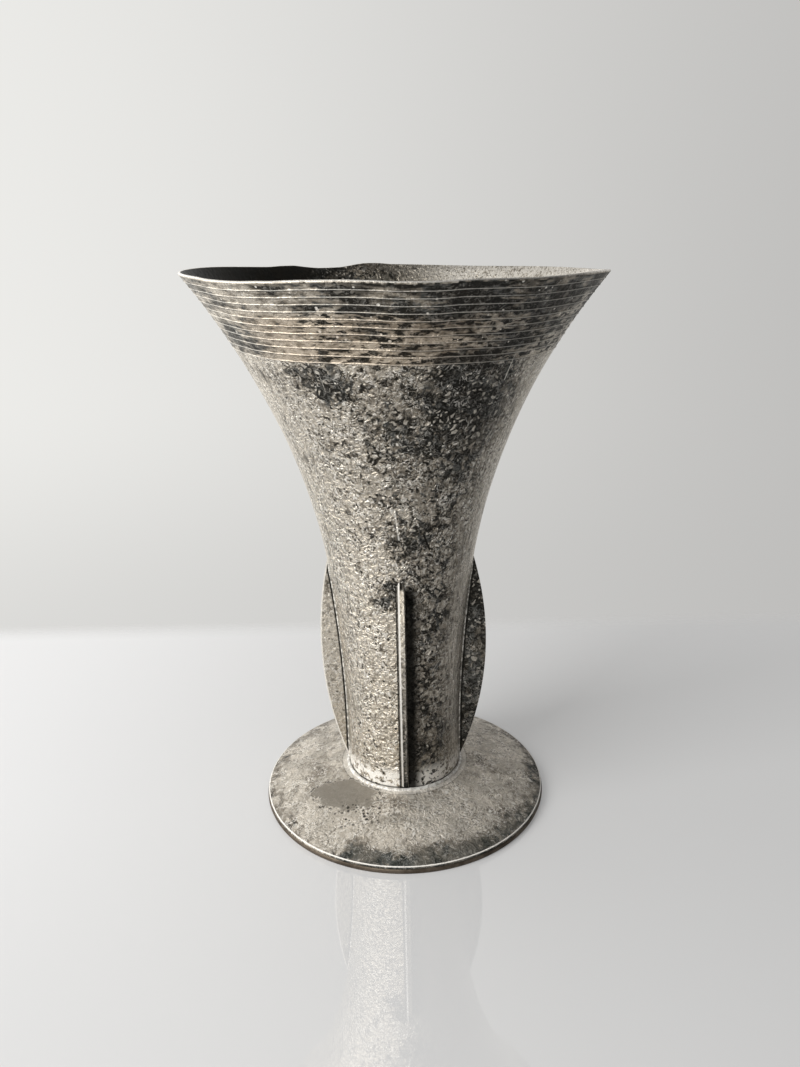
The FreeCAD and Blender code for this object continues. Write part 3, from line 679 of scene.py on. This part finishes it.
def plain_rows(points):
    """A section with no wear and no threads."""
    return [(place, 0, 1, 1) for place in points]


def put(name, data):
    """Put an object in the scene."""
    piece = bpy.data.objects.new(name, data)
    bpy.context.scene.collection.objects.link(piece)
    return piece


def line_object(name, points, edges, columns):
    """Edges, with named values at their points, ready to be spun or swept."""
    mesh = bpy.data.meshes.new(name)
    mesh.from_pydata(points, edges, [])
    for key, values in columns.items():
        mesh.attributes.new(key, "FLOAT", "POINT").data.foreach_set("value", values)
    return put(name, mesh)


# The lip's bends: waves a turn, height in millimetres and the direction of a crest in degrees
LIP_TILTS = ((1, 1.1, 180), (2, 0.4, 336))
LIP_WAVES = ((3, 0.2, 74), (4, 0.16, 81), (5, 0.11, 36), (6, 0.17, 34))
# How far the lip's circle spreads, and the threads slope along the wall, in the same terms
LIP_SPREADS = ((0, -0.4, 0), (1, 1.4, 273), (2, 0.45, 87))
THREAD_SLOPES = ((1, 0.9, 180),)
# Short dents in the lip: direction and half width in degrees, and lift in millimetres
LIP_DENTS = ((113, 13, -0.9), (100, 9, 0.5), (125, 10, 0.4), (254, 12, 0.3), (275, 10, -0.35), (292, 10, 0.15),
             (228, 12, -0.25))


def wave_sum(angle, waves):
    """Add up waves round a circle at an angle, in metres."""
    total = 0
    for count, height, crest in waves:
        total = total + height * MM * (angle * count - math.radians(count * crest)).maths("COSINE")
    return total


def dent_sum(angle, dents):
    """Add up short dents round a circle at an angle, in metres."""
    total = 0
    for centre, width, lift in dents:
        nearness = (angle - math.radians(centre)).maths("COSINE")
        total = total + lift * MM * nearness.between(math.cos(math.radians(width)), 1)
    return total


def start_tree(name, source, sockets):
    """Start a Geometry Nodes tree: its graph, and its inputs as wires."""
    tree = bpy.data.node_groups.new(name, "GeometryNodeTree")
    for label, kind, default in ((source, "Geometry", None), *sockets, ("Material", "Material", None)):
        socket = tree.interface.new_socket(label, in_out="INPUT", socket_type="NodeSocket" + kind)
        if default is not None:
            socket.default_value = default
    tree.interface.new_socket("Geometry", in_out="OUTPUT", socket_type="NodeSocketGeometry")
    graph = Graph(tree)
    return graph, {socket.name: Wire(graph, socket) for socket in tree.nodes.new("NodeGroupInput").outputs}


def end_tree(graph, mesh, material):
    """Make the tree's result smooth and real, and give it its material."""
    mesh = graph.add("GeometryNodeSetShadeSmooth", {}, {"Geometry": mesh})
    mesh = graph.add("GeometryNodeRealizeInstances", {}, {"Geometry": mesh})
    mesh = graph.add("GeometryNodeSetMaterial", {}, {"Geometry": mesh, "Material": material})
    graph.tree.links.new(mesh.socket, graph.tree.nodes.new("NodeGroupOutput").inputs[0])
    return graph.tree


def spin_tree():
    """Geometry Nodes: spin a section about the axis, bend its lip and add the hammer's unevenness."""
    graph, given = start_tree("spun_piece", "Section", (
        ("Segments", "Int", 288), ("Lip Bend", "Float", 0.0), ("Bend From", "Float", BEND_FROM),
        ("Bend To", "Float", 0.2), ("Lip Turn", "Float", 0.67), ("Unevenness", "Float", 0.0),
        ("Dent Size", "Float", 0.02)))
    section = graph.add("GeometryNodeMeshToCurve", {}, {"Mesh": given["Section"]})
    ring = graph.add("GeometryNodeCurvePrimitiveCircle", {"mode": "RADIUS"},
                     {"Resolution": given["Segments"], "Radius": 1.0})
    ring = graph.add("GeometryNodeSetCurveNormal", {}, {"Curve": ring})
    mesh = graph.add("GeometryNodeCurveToMesh", {}, {"Curve": ring, "Profile Curve": section})
    place = graph.add("GeometryNodeInputPosition")
    x, y, z = graph.split(place)
    angle = y.maths("ARCTAN2", x)
    fade = ((z - given["Bend From"]) / (given["Bend To"] - given["Bend From"])).most(0.0)
    slow = fade * fade * given["Lip Bend"]
    quick = fade.between(0.35, 1) * given["Lip Bend"]
    steepness = given["Lip Turn"].maths("TANGENT")
    ripple = (wave_sum(angle, LIP_WAVES) + dent_sum(angle, LIP_DENTS)) * quick
    slope = wave_sum(angle, THREAD_SLOPES) * fade.within(0.2, 0.55, 0.8, 1) * given["Lip Bend"]
    lift = wave_sum(angle, LIP_TILTS) * slow + ripple + slope
    widen = wave_sum(angle, LIP_SPREADS) * slow - ripple / steepness + slope * steepness * 0.9
    outward = graph.vector("NORMALIZE", graph.join(x, y, 0.0))
    dent = graph.add("ShaderNodeTexNoise", {},
                     {"Vector": place, "Scale": 1 / given["Dent Size"], "Detail": 2.0, "Roughness": 0.5})
    push = widen + (dent - 0.5) * 2 * given["Unevenness"]
    offset = graph.vector("ADD", graph.vector("SCALE", outward, push), graph.join(0.0, 0.0, lift))
    mesh = graph.add("GeometryNodeSetPosition", {}, {"Geometry": mesh, "Offset": offset})
    return end_tree(graph, mesh, given["Material"])


def bead_tree():
    """Geometry Nodes: run a lumpy bead of solder along a path."""
    graph, given = start_tree("solder_bead", "Path", (
        ("Radius", "Float", 0.0005), ("Lumps", "Float", 0.35), ("Lump Size", "Float", 0.003), ("Sides", "Int", 10)))
    curve = graph.add("GeometryNodeMeshToCurve", {}, {"Mesh": given["Path"]})
    place = graph.add("GeometryNodeInputPosition")
    swell = graph.add("ShaderNodeTexNoise", {}, {"Vector": place, "Scale": 1 / given["Lump Size"], "Detail": 1.0})
    taper = graph.add("GeometryNodeInputNamedAttribute", {"data_type": "FLOAT"}, {"Name": "taper"})
    size = given["Radius"] * taper * (1 + (swell - 0.5) * 2 * given["Lumps"])
    outline = graph.add("GeometryNodeCurvePrimitiveCircle", {"mode": "RADIUS"},
                        {"Resolution": given["Sides"], "Radius": 1.0})
    mesh = graph.add("GeometryNodeCurveToMesh", {},
                     {"Curve": curve, "Profile Curve": outline, "Fill Caps": True, "Scale": size})
    return end_tree(graph, mesh, given["Material"])


def bake_tree(piece, maker, name, values):
    """Run a Geometry Nodes tree on a piece, and keep only the plain mesh that it makes."""
    # The tree is made the first time that a piece needs it
    tree = bpy.data.node_groups.get(name) or maker()
    modifier = piece.modifiers.new(name, "NODES")
    modifier.node_group = tree
    for item in tree.interface.items_tree:
        if item.in_out == "INPUT" and item.name in values:
            modifier[item.identifier] = values[item.name]
    graph = bpy.context.evaluated_depsgraph_get()
    mesh = bpy.data.meshes.new_from_object(piece.evaluated_get(graph), depsgraph=graph)
    piece.modifiers.remove(modifier)
    old = piece.data
    piece.data = mesh
    mesh.name = piece.name
    bpy.data.meshes.remove(old)
    close_mesh(mesh)
    return piece


def close_mesh(mesh):
    """Merge doubles and point every face outwards."""
    work = bmesh.new()
    work.from_mesh(mesh)
    for vertex in work.verts:
        if math.hypot(vertex.co.x, vertex.co.y) < POLE:
            vertex.co.x = vertex.co.y = 0
    bmesh.ops.remove_doubles(work, verts=work.verts, dist=MERGE)
    bmesh.ops.recalc_face_normals(work, faces=work.faces)
    work.to_mesh(mesh)
    work.free()
    mesh.update()


def spin_piece(name, rows, closed, material, segments, **values):
    """Spin a section into a finished piece. The ring that carries it has a radius of one metre."""
    count = len(rows)
    edges = [(index, (index + 1) % count) for index in range(count if closed else count - 1)]
    columns = {key: [row[index] for row in rows] for index, key in ((1, "wear"), (2, "outside"), (3, "along"))}
    piece = line_object(name, [(row[0][0] - 1, -row[0][1], 0) for row in rows], edges, columns)
    values = {key.replace("_", " ").title(): value for key, value in values.items()}
    values.update({"Segments": segments, "Material": material})
    return bake_tree(piece, spin_tree, "spun_piece", values)


def settle(piece, node):
    """Put a finished piece on the frame in place of its node."""
    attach(piece, "root")
    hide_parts(node)


def round_corner(centre, radius, start, end, count):
    """Points of a round corner, its angles in degrees."""
    return [(centre[0] + radius * math.cos(math.radians(angle)), centre[1] + radius * math.sin(math.radians(angle)))
            for angle in spread(start, end, count)]


class VASE_OT_spin_body(bpy.types.Operator):
    """Spin the flaring body with its threads and bent lip"""

    bl_idname = "vase.spin_body"
    bl_label = "Spin body"

    def execute(self, context):
        sizes, colours = context.scene.vase_sizes, context.scene.vase_colours
        piece = spin_piece("spun_trumpet_body", body_profile(sizes), True, body_material(sizes, colours),
                           sizes.segments, lip_bend=sizes.lip_bend, lip_turn=wall_stations(sizes)["upper_turn"],
                           unevenness=sizes.unevenness, bend_from=BEND_FROM, bend_to=BODY_HIGH.z)
        settle(piece, "trumpet_body")
        return {"FINISHED"}


def arc_between(first, last, rise):
    """The centre and radius of the arc that rises between two points, on the left of the way."""
    run, climb = last[0] - first[0], last[1] - first[1]
    chord = math.hypot(run, climb)
    radius = (chord ** 2 / 4 + rise ** 2) / (2 * rise)
    depth = (radius - rise) / chord
    return ((first[0] + last[0]) / 2 + depth * climb, (first[1] + last[1]) / 2 - depth * run), radius


def bearing(centre, point):
    """The direction of a point from a centre, in degrees."""
    return math.degrees(math.atan2(point[1] - centre[1], point[0] - centre[0]))


def foot_profile(sizes):
    """The foot's closed section: top from the axis outwards, worn edge, hollow underneath."""
    seat, hollow = BODY_LOW.z, FOOT_HIGH.z - FOOT_SHEET
    register = sizes.stem_radius - sizes.wall - REGISTER_GAP
    edge, rim_seat = FOOT_HIGH.x, WIRE_HIGH.z
    land = (sizes.stem_radius + FOOT_LAND, seat)
    end = (edge - FOOT_ROUNDING, rim_seat + FOOT_SHEET)
    centre, radius = arc_between(land, end, FOOT_RISE)
    top = [(0, FOOT_HIGH.z), (register, FOOT_HIGH.z), (register, seat), (land[0] - 0.6 * MM, seat)]
    top += round_corner(centre, radius, bearing(centre, land), bearing(centre, end), 40)
    top += round_corner((end[0], end[1] - FOOT_ROUNDING), FOOT_ROUNDING, 70, 0, 6)
    under = radius - FOOT_SHEET
    inner_end, inner_start = (math.degrees(math.asin((height - centre[1]) / under))
                              for height in (rim_seat, seat - FOOT_SHEET))
    bottom = [(edge, rim_seat)] + round_corner(centre, under, inner_end, inner_start, 16)
    bottom += [(register - FOOT_SHEET, seat - FOOT_SHEET), (register - FOOT_SHEET, hollow), (0, hollow)]
    return plain_rows(top + bottom)


def wire_profile():
    """The section of the wire under the foot's edge: flat above and below, rounded outside."""
    inside, corner = WIRE_HIGH.x - WIRE_WIDTH, WIRE_HIGH.x - WIRE_BULGE - WIRE_ROUNDING
    section = [(inside, 0), (corner, 0)] + round_corner((corner, WIRE_ROUNDING), WIRE_ROUNDING, -90, -10, 5)
    section += [(WIRE_HIGH.x, WIRE_HIGH.z / 2)]
    section += round_corner((corner, WIRE_HIGH.z - WIRE_ROUNDING), WIRE_ROUNDING, 10, 90, 5)
    return plain_rows(section + [(inside, WIRE_HIGH.z)])


class VASE_OT_spin_foot(bpy.types.Operator):
    """Spin the domed foot and the wire that it rests on"""

    bl_idname = "vase.spin_foot"
    bl_label = "Spin foot"

    def execute(self, context):
        sizes, colours = context.scene.vase_sizes, context.scene.vase_colours
        foot = spin_piece("domed_foot", foot_profile(sizes), False, foot_material(sizes, colours), sizes.segments)
        settle(foot, "foot_shell")
        metal = small_metal("rim_wire_metal", (0.2, 0.165, 0.13), (0.11, 0.09, 0.07), 9 * MM, 0.4, 0.05 * MM)
        wire = spin_piece("foot_wire", wire_profile(), True, metal, sizes.segments)
        settle(wire, "foot_rim_wire")
        return {"FINISHED"}


def fin_ends(sizes):
    """The lower and upper tip of a fin in the XZ plane."""
    high = wall_radius(wall_stations(sizes), sizes.fin_top, sizes.wall / 2)
    return (sizes.stem_radius, FIN_LOW.z), (high, sizes.fin_top)


def fin_bow(sizes, filed):
    """The centre and radius of the arc that a fin's edge bows along."""
    low, high = fin_ends(sizes)
    return arc_between(high, low, sizes.fin_reach - filed)


def fin_outline(sizes, filed):
    """A fin's outline in the XZ plane: the bowed edge up, then the root down along the wall."""
    wall = wall_stations(sizes)
    skin = sizes.wall / 2 - 0.05 * MM
    low, high = fin_ends(sizes)
    centre, radius = fin_bow(sizes, filed)
    edge = round_corner(centre, radius, bearing(centre, low), bearing(centre, high), 72)
    root = [(wall_radius(wall, height, skin), height) for height in spread(high[1], low[1], 40)]
    return edge + root[1:-1]


def build_fin(name, degrees, filed, sizes, material):
    """Saw one fin from plate, and round its arrises."""
    outline = fin_outline(sizes, filed)
    half = FIN_HALF - FIN_WORN
    work = bmesh.new()
    near, far = ([work.verts.new((x, side, z)) for x, z in outline] for side in (-half, half))
    for index in range(len(outline)):
        after = (index + 1) % len(outline)
        work.faces.new((near[index], near[after], far[after], far[index]))
    work.faces.new(near[::-1])
    work.faces.new(far)
    arrises = [item for item in work.edges if abs(item.verts[0].co.y - item.verts[1].co.y) < MM / 10]
    bmesh.ops.bevel(work, geom=arrises, offset=sizes.fin_arris, segments=3, profile=0.6, affect="EDGES")
    bmesh.ops.recalc_face_normals(work, faces=work.faces)
    mesh = bpy.data.meshes.new(name)
    work.to_mesh(mesh)
    work.free()
    mesh.transform(Matrix.Rotation(math.radians(degrees), 4, "Z"))
    mesh.materials.append(material)
    mesh.shade_flat()
    return put(name, mesh)


class VASE_OT_cut_fins(bpy.types.Operator):
    """Cut the fins and stand them against the stem"""

    bl_idname = "vase.cut_fins"
    bl_label = "Cut fins"

    def execute(self, context):
        sizes, colours = context.scene.vase_sizes, context.scene.vase_colours
        material = fin_material(sizes, colours)
        for side, (degrees, filed) in FINS.items():
            piece = build_fin("plate_fin_" + side, degrees, filed, sizes, material)
            settle(piece, "fin_" + side)
        return {"FINISHED"}


def run_bead(name, paths, closed, radius, material):
    """Run solder along one or more paths, each a list of points with how thick it is there."""
    points, edges, tapers = [], [], []
    for path in paths:
        first = len(points)
        points += [place for place, _ in path]
        tapers += [taper for _, taper in path]
        edges += [(first + step, first + step + 1) for step in range(len(path) - 1)]
        if closed:
            edges.append((first + len(path) - 1, first))
    piece = line_object(name, points, edges, {"taper": tapers})
    return bake_tree(piece, bead_tree, "solder_bead", {"Radius": radius, "Material": material})


def ring_path(radius, height, steps):
    """A level circle as a path for solder."""
    return [(round_point(radius, angle, height), 1.0) for angle in spread(0, 2 * math.pi, steps + 1)[:-1]]


def root_path(sizes, side, degrees):
    """The line in the corner between a fin's face and the wall, thinner towards both ends."""
    wall = wall_stations(sizes)
    turn = Matrix.Rotation(math.radians(degrees), 4, "Z")
    away = FIN_HALF + sizes.bead * 0.35
    path = []
    for height in spread(FIN_LOW.z + 0.2 * MM, sizes.fin_top - 1.5 * MM, 110):
        across = math.sqrt(wall_radius(wall, height, sizes.wall / 2) ** 2 - away ** 2) + sizes.bead * 0.25
        end = min(1.0, (height - FIN_LOW.z) / (3 * MM), (sizes.fin_top - height) / (5 * MM))
        path.append((turn @ Vector((across, side * away, height)), 0.5 + 0.5 * end))
    return path


class VASE_OT_run_solder(bpy.types.Operator):
    """Run the solder round the stem, beside the fins and round the inner floor"""

    bl_idname = "vase.run_solder"
    bl_label = "Run solder"

    def execute(self, context):
        sizes, colours = context.scene.vase_sizes, context.scene.vase_colours
        bright = small_metal("bright_solder", (0.95, 0.93, 0.88), (0.62, 0.59, 0.54), 2 * MM, 0.28, 0.1 * MM, 0.35)
        dull = small_metal("dull_solder", colours.silver, (0.3, 0.28, 0.25), 1.5 * MM, 0.3, 0.1 * MM, 0.4)
        # A darker copy of the dull solder, painted with shade, for the front fin
        shaded = small_metal("shaded_solder", (0.33, 0.3, 0.26), colours.grey, 1.5 * MM, 0.3, 0.1 * MM, 0.4)
        ring = ring_path(sizes.stem_radius + 0.45 * MM, BODY_LOW.z + 0.15 * MM, 240)
        piece = run_bead("stem_solder", [ring], True, BASE_BEAD, bright)
        settle(piece, "base_solder")
        for side, (degrees, _) in FINS.items():
            paths = [root_path(sizes, 1, degrees), root_path(sizes, -1, degrees)]
            # The front fin's solder was filed thin, and it takes the darker, shaded copy of the solder as painted
            # shade
            share, metal = (0.35, shaded) if side == "front" else (1, dull)
            piece = run_bead("fin_bead_" + side, paths, False, sizes.bead * share, metal)
            settle(piece, "fin_solder_" + side)
        ring = ring_path(sizes.stem_radius - sizes.wall - 0.15 * MM, FLOOR_HIGH.z + 0.1 * MM, 180)
        piece = run_bead("inner_solder", [ring], True, FLOOR_BEAD, dull)
        settle(piece, "floor_solder")
        return {"FINISHED"}


class VASE_OT_fit_floor(bpy.types.Operator):
    """Fit the disc that closes the stem"""

    bl_idname = "vase.fit_floor"
    bl_label = "Fit floor"

    def execute(self, context):
        sizes = context.scene.vase_sizes
        metal = small_metal("inner_floor_metal", (0.22, 0.2, 0.18), (0.05, 0.048, 0.045), 4 * MM, 0.45, 0.15 * MM)
        low, high, radius = FLOOR_LOW.z, FLOOR_HIGH.z, FLOOR_HIGH.x
        section = [(0, low), (radius, low), (radius, high), (0, high)]
        piece = spin_piece("stem_floor", plain_rows(section), False, metal, sizes.segments)
        settle(piece, "body_floor")
        return {"FINISHED"}


def camera_matrix(studio):
    """The camera's place and turn, worked out from its pitch, yaw and roll, then the view's lean."""
    pitch, yaw, roll = studio.pitch, studio.yaw, studio.roll
    forward = Vector((-math.sin(yaw) * math.cos(pitch), math.cos(yaw) * math.cos(pitch), -math.sin(pitch)))
    right = Vector((math.cos(yaw), math.sin(yaw), 0))
    up = right.cross(forward)
    rolled_right = right * math.cos(roll) + up * math.sin(roll)
    rolled_up = up * math.cos(roll) - right * math.sin(roll)
    turn = Matrix((rolled_right, rolled_up, -forward)).transposed().to_4x4()
    place = Matrix.Translation((0, -studio.distance, studio.height))
    return Matrix.Rotation(-studio.lean, 4, "Y") @ place @ turn


def add_camera(studio):
    """Stand the camera where the view was taken from."""
    data = bpy.data.cameras.new("view")
    data.lens = studio.lens
    data.sensor_width = 36
    data.clip_start = 10 * MM
    camera = put("view", data)
    camera.matrix_world = camera_matrix(studio)
    bpy.context.scene.camera = camera


def add_lamp(name, place, size, power):
    """A square soft light, aimed at the middle of the vase."""
    data = bpy.data.lights.new(name, "AREA")
    data.size = size
    data.energy = power
    lamp = put(name, data)
    lamp.visible_glossy = False
    lamp.location = place
    lamp.rotation_euler = (Vector((0, 0, 0.1)) - Vector(place)).to_track_quat("-Z", "Y").to_euler()


def light_world():
    """A pale room, brighter behind and to the left, and a dimmer light on everything but reflections."""
    world = bpy.data.worlds.new("pale_room")
    bpy.context.scene.world = world
    world.use_nodes = True
    world.node_tree.nodes.clear()
    graph = Graph(world.node_tree)
    x, y, z = graph.split(graph.add("ShaderNodeTexCoord", {}, {}, "Generated"))
    seen, glossy, through = graph.add("ShaderNodeLightPath", {}, {},
                                      ("Is Camera Ray", "Is Glossy Ray", "Is Transmission Ray"))
    across = x.between(-0.6, 0.65)
    shade = (0.5, 0.495, 0.485)
    backdrop = graph.blend(z.below(-0.42, -0.15) * 0.6, graph.blend(across, (0.86, 0.855, 0.83), shade),
                           graph.blend(across, (0.62, 0.615, 0.6), shade))
    # What the metal and the table mirror: a dark room, a pale wall behind and a window at the front left
    window = (x * -0.8 + y * -0.45).between(0.1, 0.95)
    behind = y.between(0.0, 0.7) * (1 - x.between(-0.3, 0.9) * 0.8)
    wall = y.between(0.3, 0.6) * z.within(-0.05, 0.05, 0.25, 0.6)
    mirrored = graph.coats(
        (0.13, 0.13, 0.125), (behind * 0.45, (1.9, 1.86, 1.77)), (window, (3.1, 3.03, 2.86)),
        (wall, graph.blend(across, (1.55, 1.53, 1.5), (0.8, 0.79, 0.78))))
    mirrored = graph.vector("SCALE", mirrored, 1 - z.between(0.1, 0.6) * 0.6)
    fill = graph.blend(across, (0.5, 0.5, 0.5), (0.14, 0.14, 0.145))
    light = graph.coats(fill, (glossy.most(through), mirrored), (seen, backdrop))
    background = graph.add("ShaderNodeBackground", {}, {"Color": light, "Strength": 1.0})
    graph.add("ShaderNodeOutputWorld", {}, {"Surface": background})


def floor_material(studio, colours):
    """A pale table with a faint gloss and a painted glow for camera rays, stronger at the back left, which fades
    into the backdrop behind the vase.
    """
    material, graph = new_material("pale_table")
    x, y, _ = graph.split(graph.place())
    seen = graph.add("ShaderNodeLightPath", {}, {}, "Is Camera Ray")
    table = graph.add("ShaderNodeBsdfPrincipled", {},
                      {"Base Color": colour(colours.pale_floor), "Roughness": 0.0, "IOR": 2.5})
    # Painted light: seen by the camera, the table glows a little, and more at the back left as a painted reflection
    left = x.below(-0.2, 0.06) * y.between(-0.15, 0.0)
    painted_glow = graph.blend(seen, (0, 0, 0), graph.blend(left, (0.17, 0.17, 0.17), (0.26, 0.26, 0.262)))
    lift = graph.add("ShaderNodeEmission", {}, {"Color": painted_glow, "Strength": 1.0})
    lit = graph.add("ShaderNodeAddShader", {}, {0: table, 1: lift})
    clear = graph.add("ShaderNodeBsdfTransparent")
    beyond = y.between(studio.table_edge - 12 * MM, studio.table_edge + 12 * MM)
    surface = graph.add("ShaderNodeMixShader", {}, {0: beyond, 1: lit, 2: clear})
    graph.add("ShaderNodeOutputMaterial", {}, {"Surface": surface})
    return material


class VASE_OT_set_stage(bpy.types.Operator):
    """Set the table, the pale room, the soft lights and the camera"""

    bl_idname = "vase.set_stage"
    bl_label = "Set stage"

    def execute(self, context):
        studio, colours = context.scene.vase_studio, context.scene.vase_colours
        context.scene.view_settings.view_transform = "Standard"
        mesh = bpy.data.meshes.new("table")
        reach = 3.0
        mesh.from_pydata([(-reach, -reach, 0), (reach, -reach, 0), (reach, reach, 0), (-reach, reach, 0)], [],
                         [(0, 1, 2, 3)])
        mesh.materials.append(floor_material(studio, colours))
        table = put("table", mesh)
        light_world()
        add_lamp("window", (-0.6, -0.42, 0.42), 0.5, studio.key_power)
        add_lamp("ceiling", (0.0, 0.1, 0.9), 0.8, studio.fill_power)
        add_camera(studio)
        return {"FINISHED"}


class VASE_PT_panel(bpy.types.Panel):
    """Buttons for each piece of the vase and for the stage"""

    bl_idname = "VASE_PT_panel"
    bl_label = "Trumpet vase"
    bl_space_type = "VIEW_3D"
    bl_region_type = "UI"
    bl_category = "Vase"

    def draw(self, context):
        for operator in OPERATORS:
            self.layout.operator(operator.bl_idname)
        for group in (context.scene.vase_sizes, context.scene.vase_colours, context.scene.vase_studio):
            box = self.layout.box()
            for key in group.__annotations__:
                box.prop(group, key)


OPERATORS = (VASE_OT_spin_body, VASE_OT_spin_foot, VASE_OT_cut_fins, VASE_OT_run_solder, VASE_OT_fit_floor,
             VASE_OT_set_stage)
GROUPS = {"vase_sizes": VaseSizes, "vase_colours": VaseColours, "vase_studio": VaseStudio}


def register():
    for kind in (*GROUPS.values(), *OPERATORS, VASE_PT_panel):
        bpy.utils.register_class(kind)
    for key, group in GROUPS.items():
        setattr(bpy.types.Scene, key, PointerProperty(type=group))


def unregister():
    for key in GROUPS:
        delattr(bpy.types.Scene, key)
    for kind in (VASE_PT_panel, *OPERATORS[::-1], *GROUPS.values()):
        bpy.utils.unregister_class(kind)


def main():
    register()
    bpy.ops.vase.spin_body()
    bpy.ops.vase.spin_foot()
    bpy.ops.vase.cut_fins()
    bpy.ops.vase.run_solder()
    bpy.ops.vase.fit_floor()
    bpy.ops.vase.set_stage()


if __name__ == "__main__":
    main()
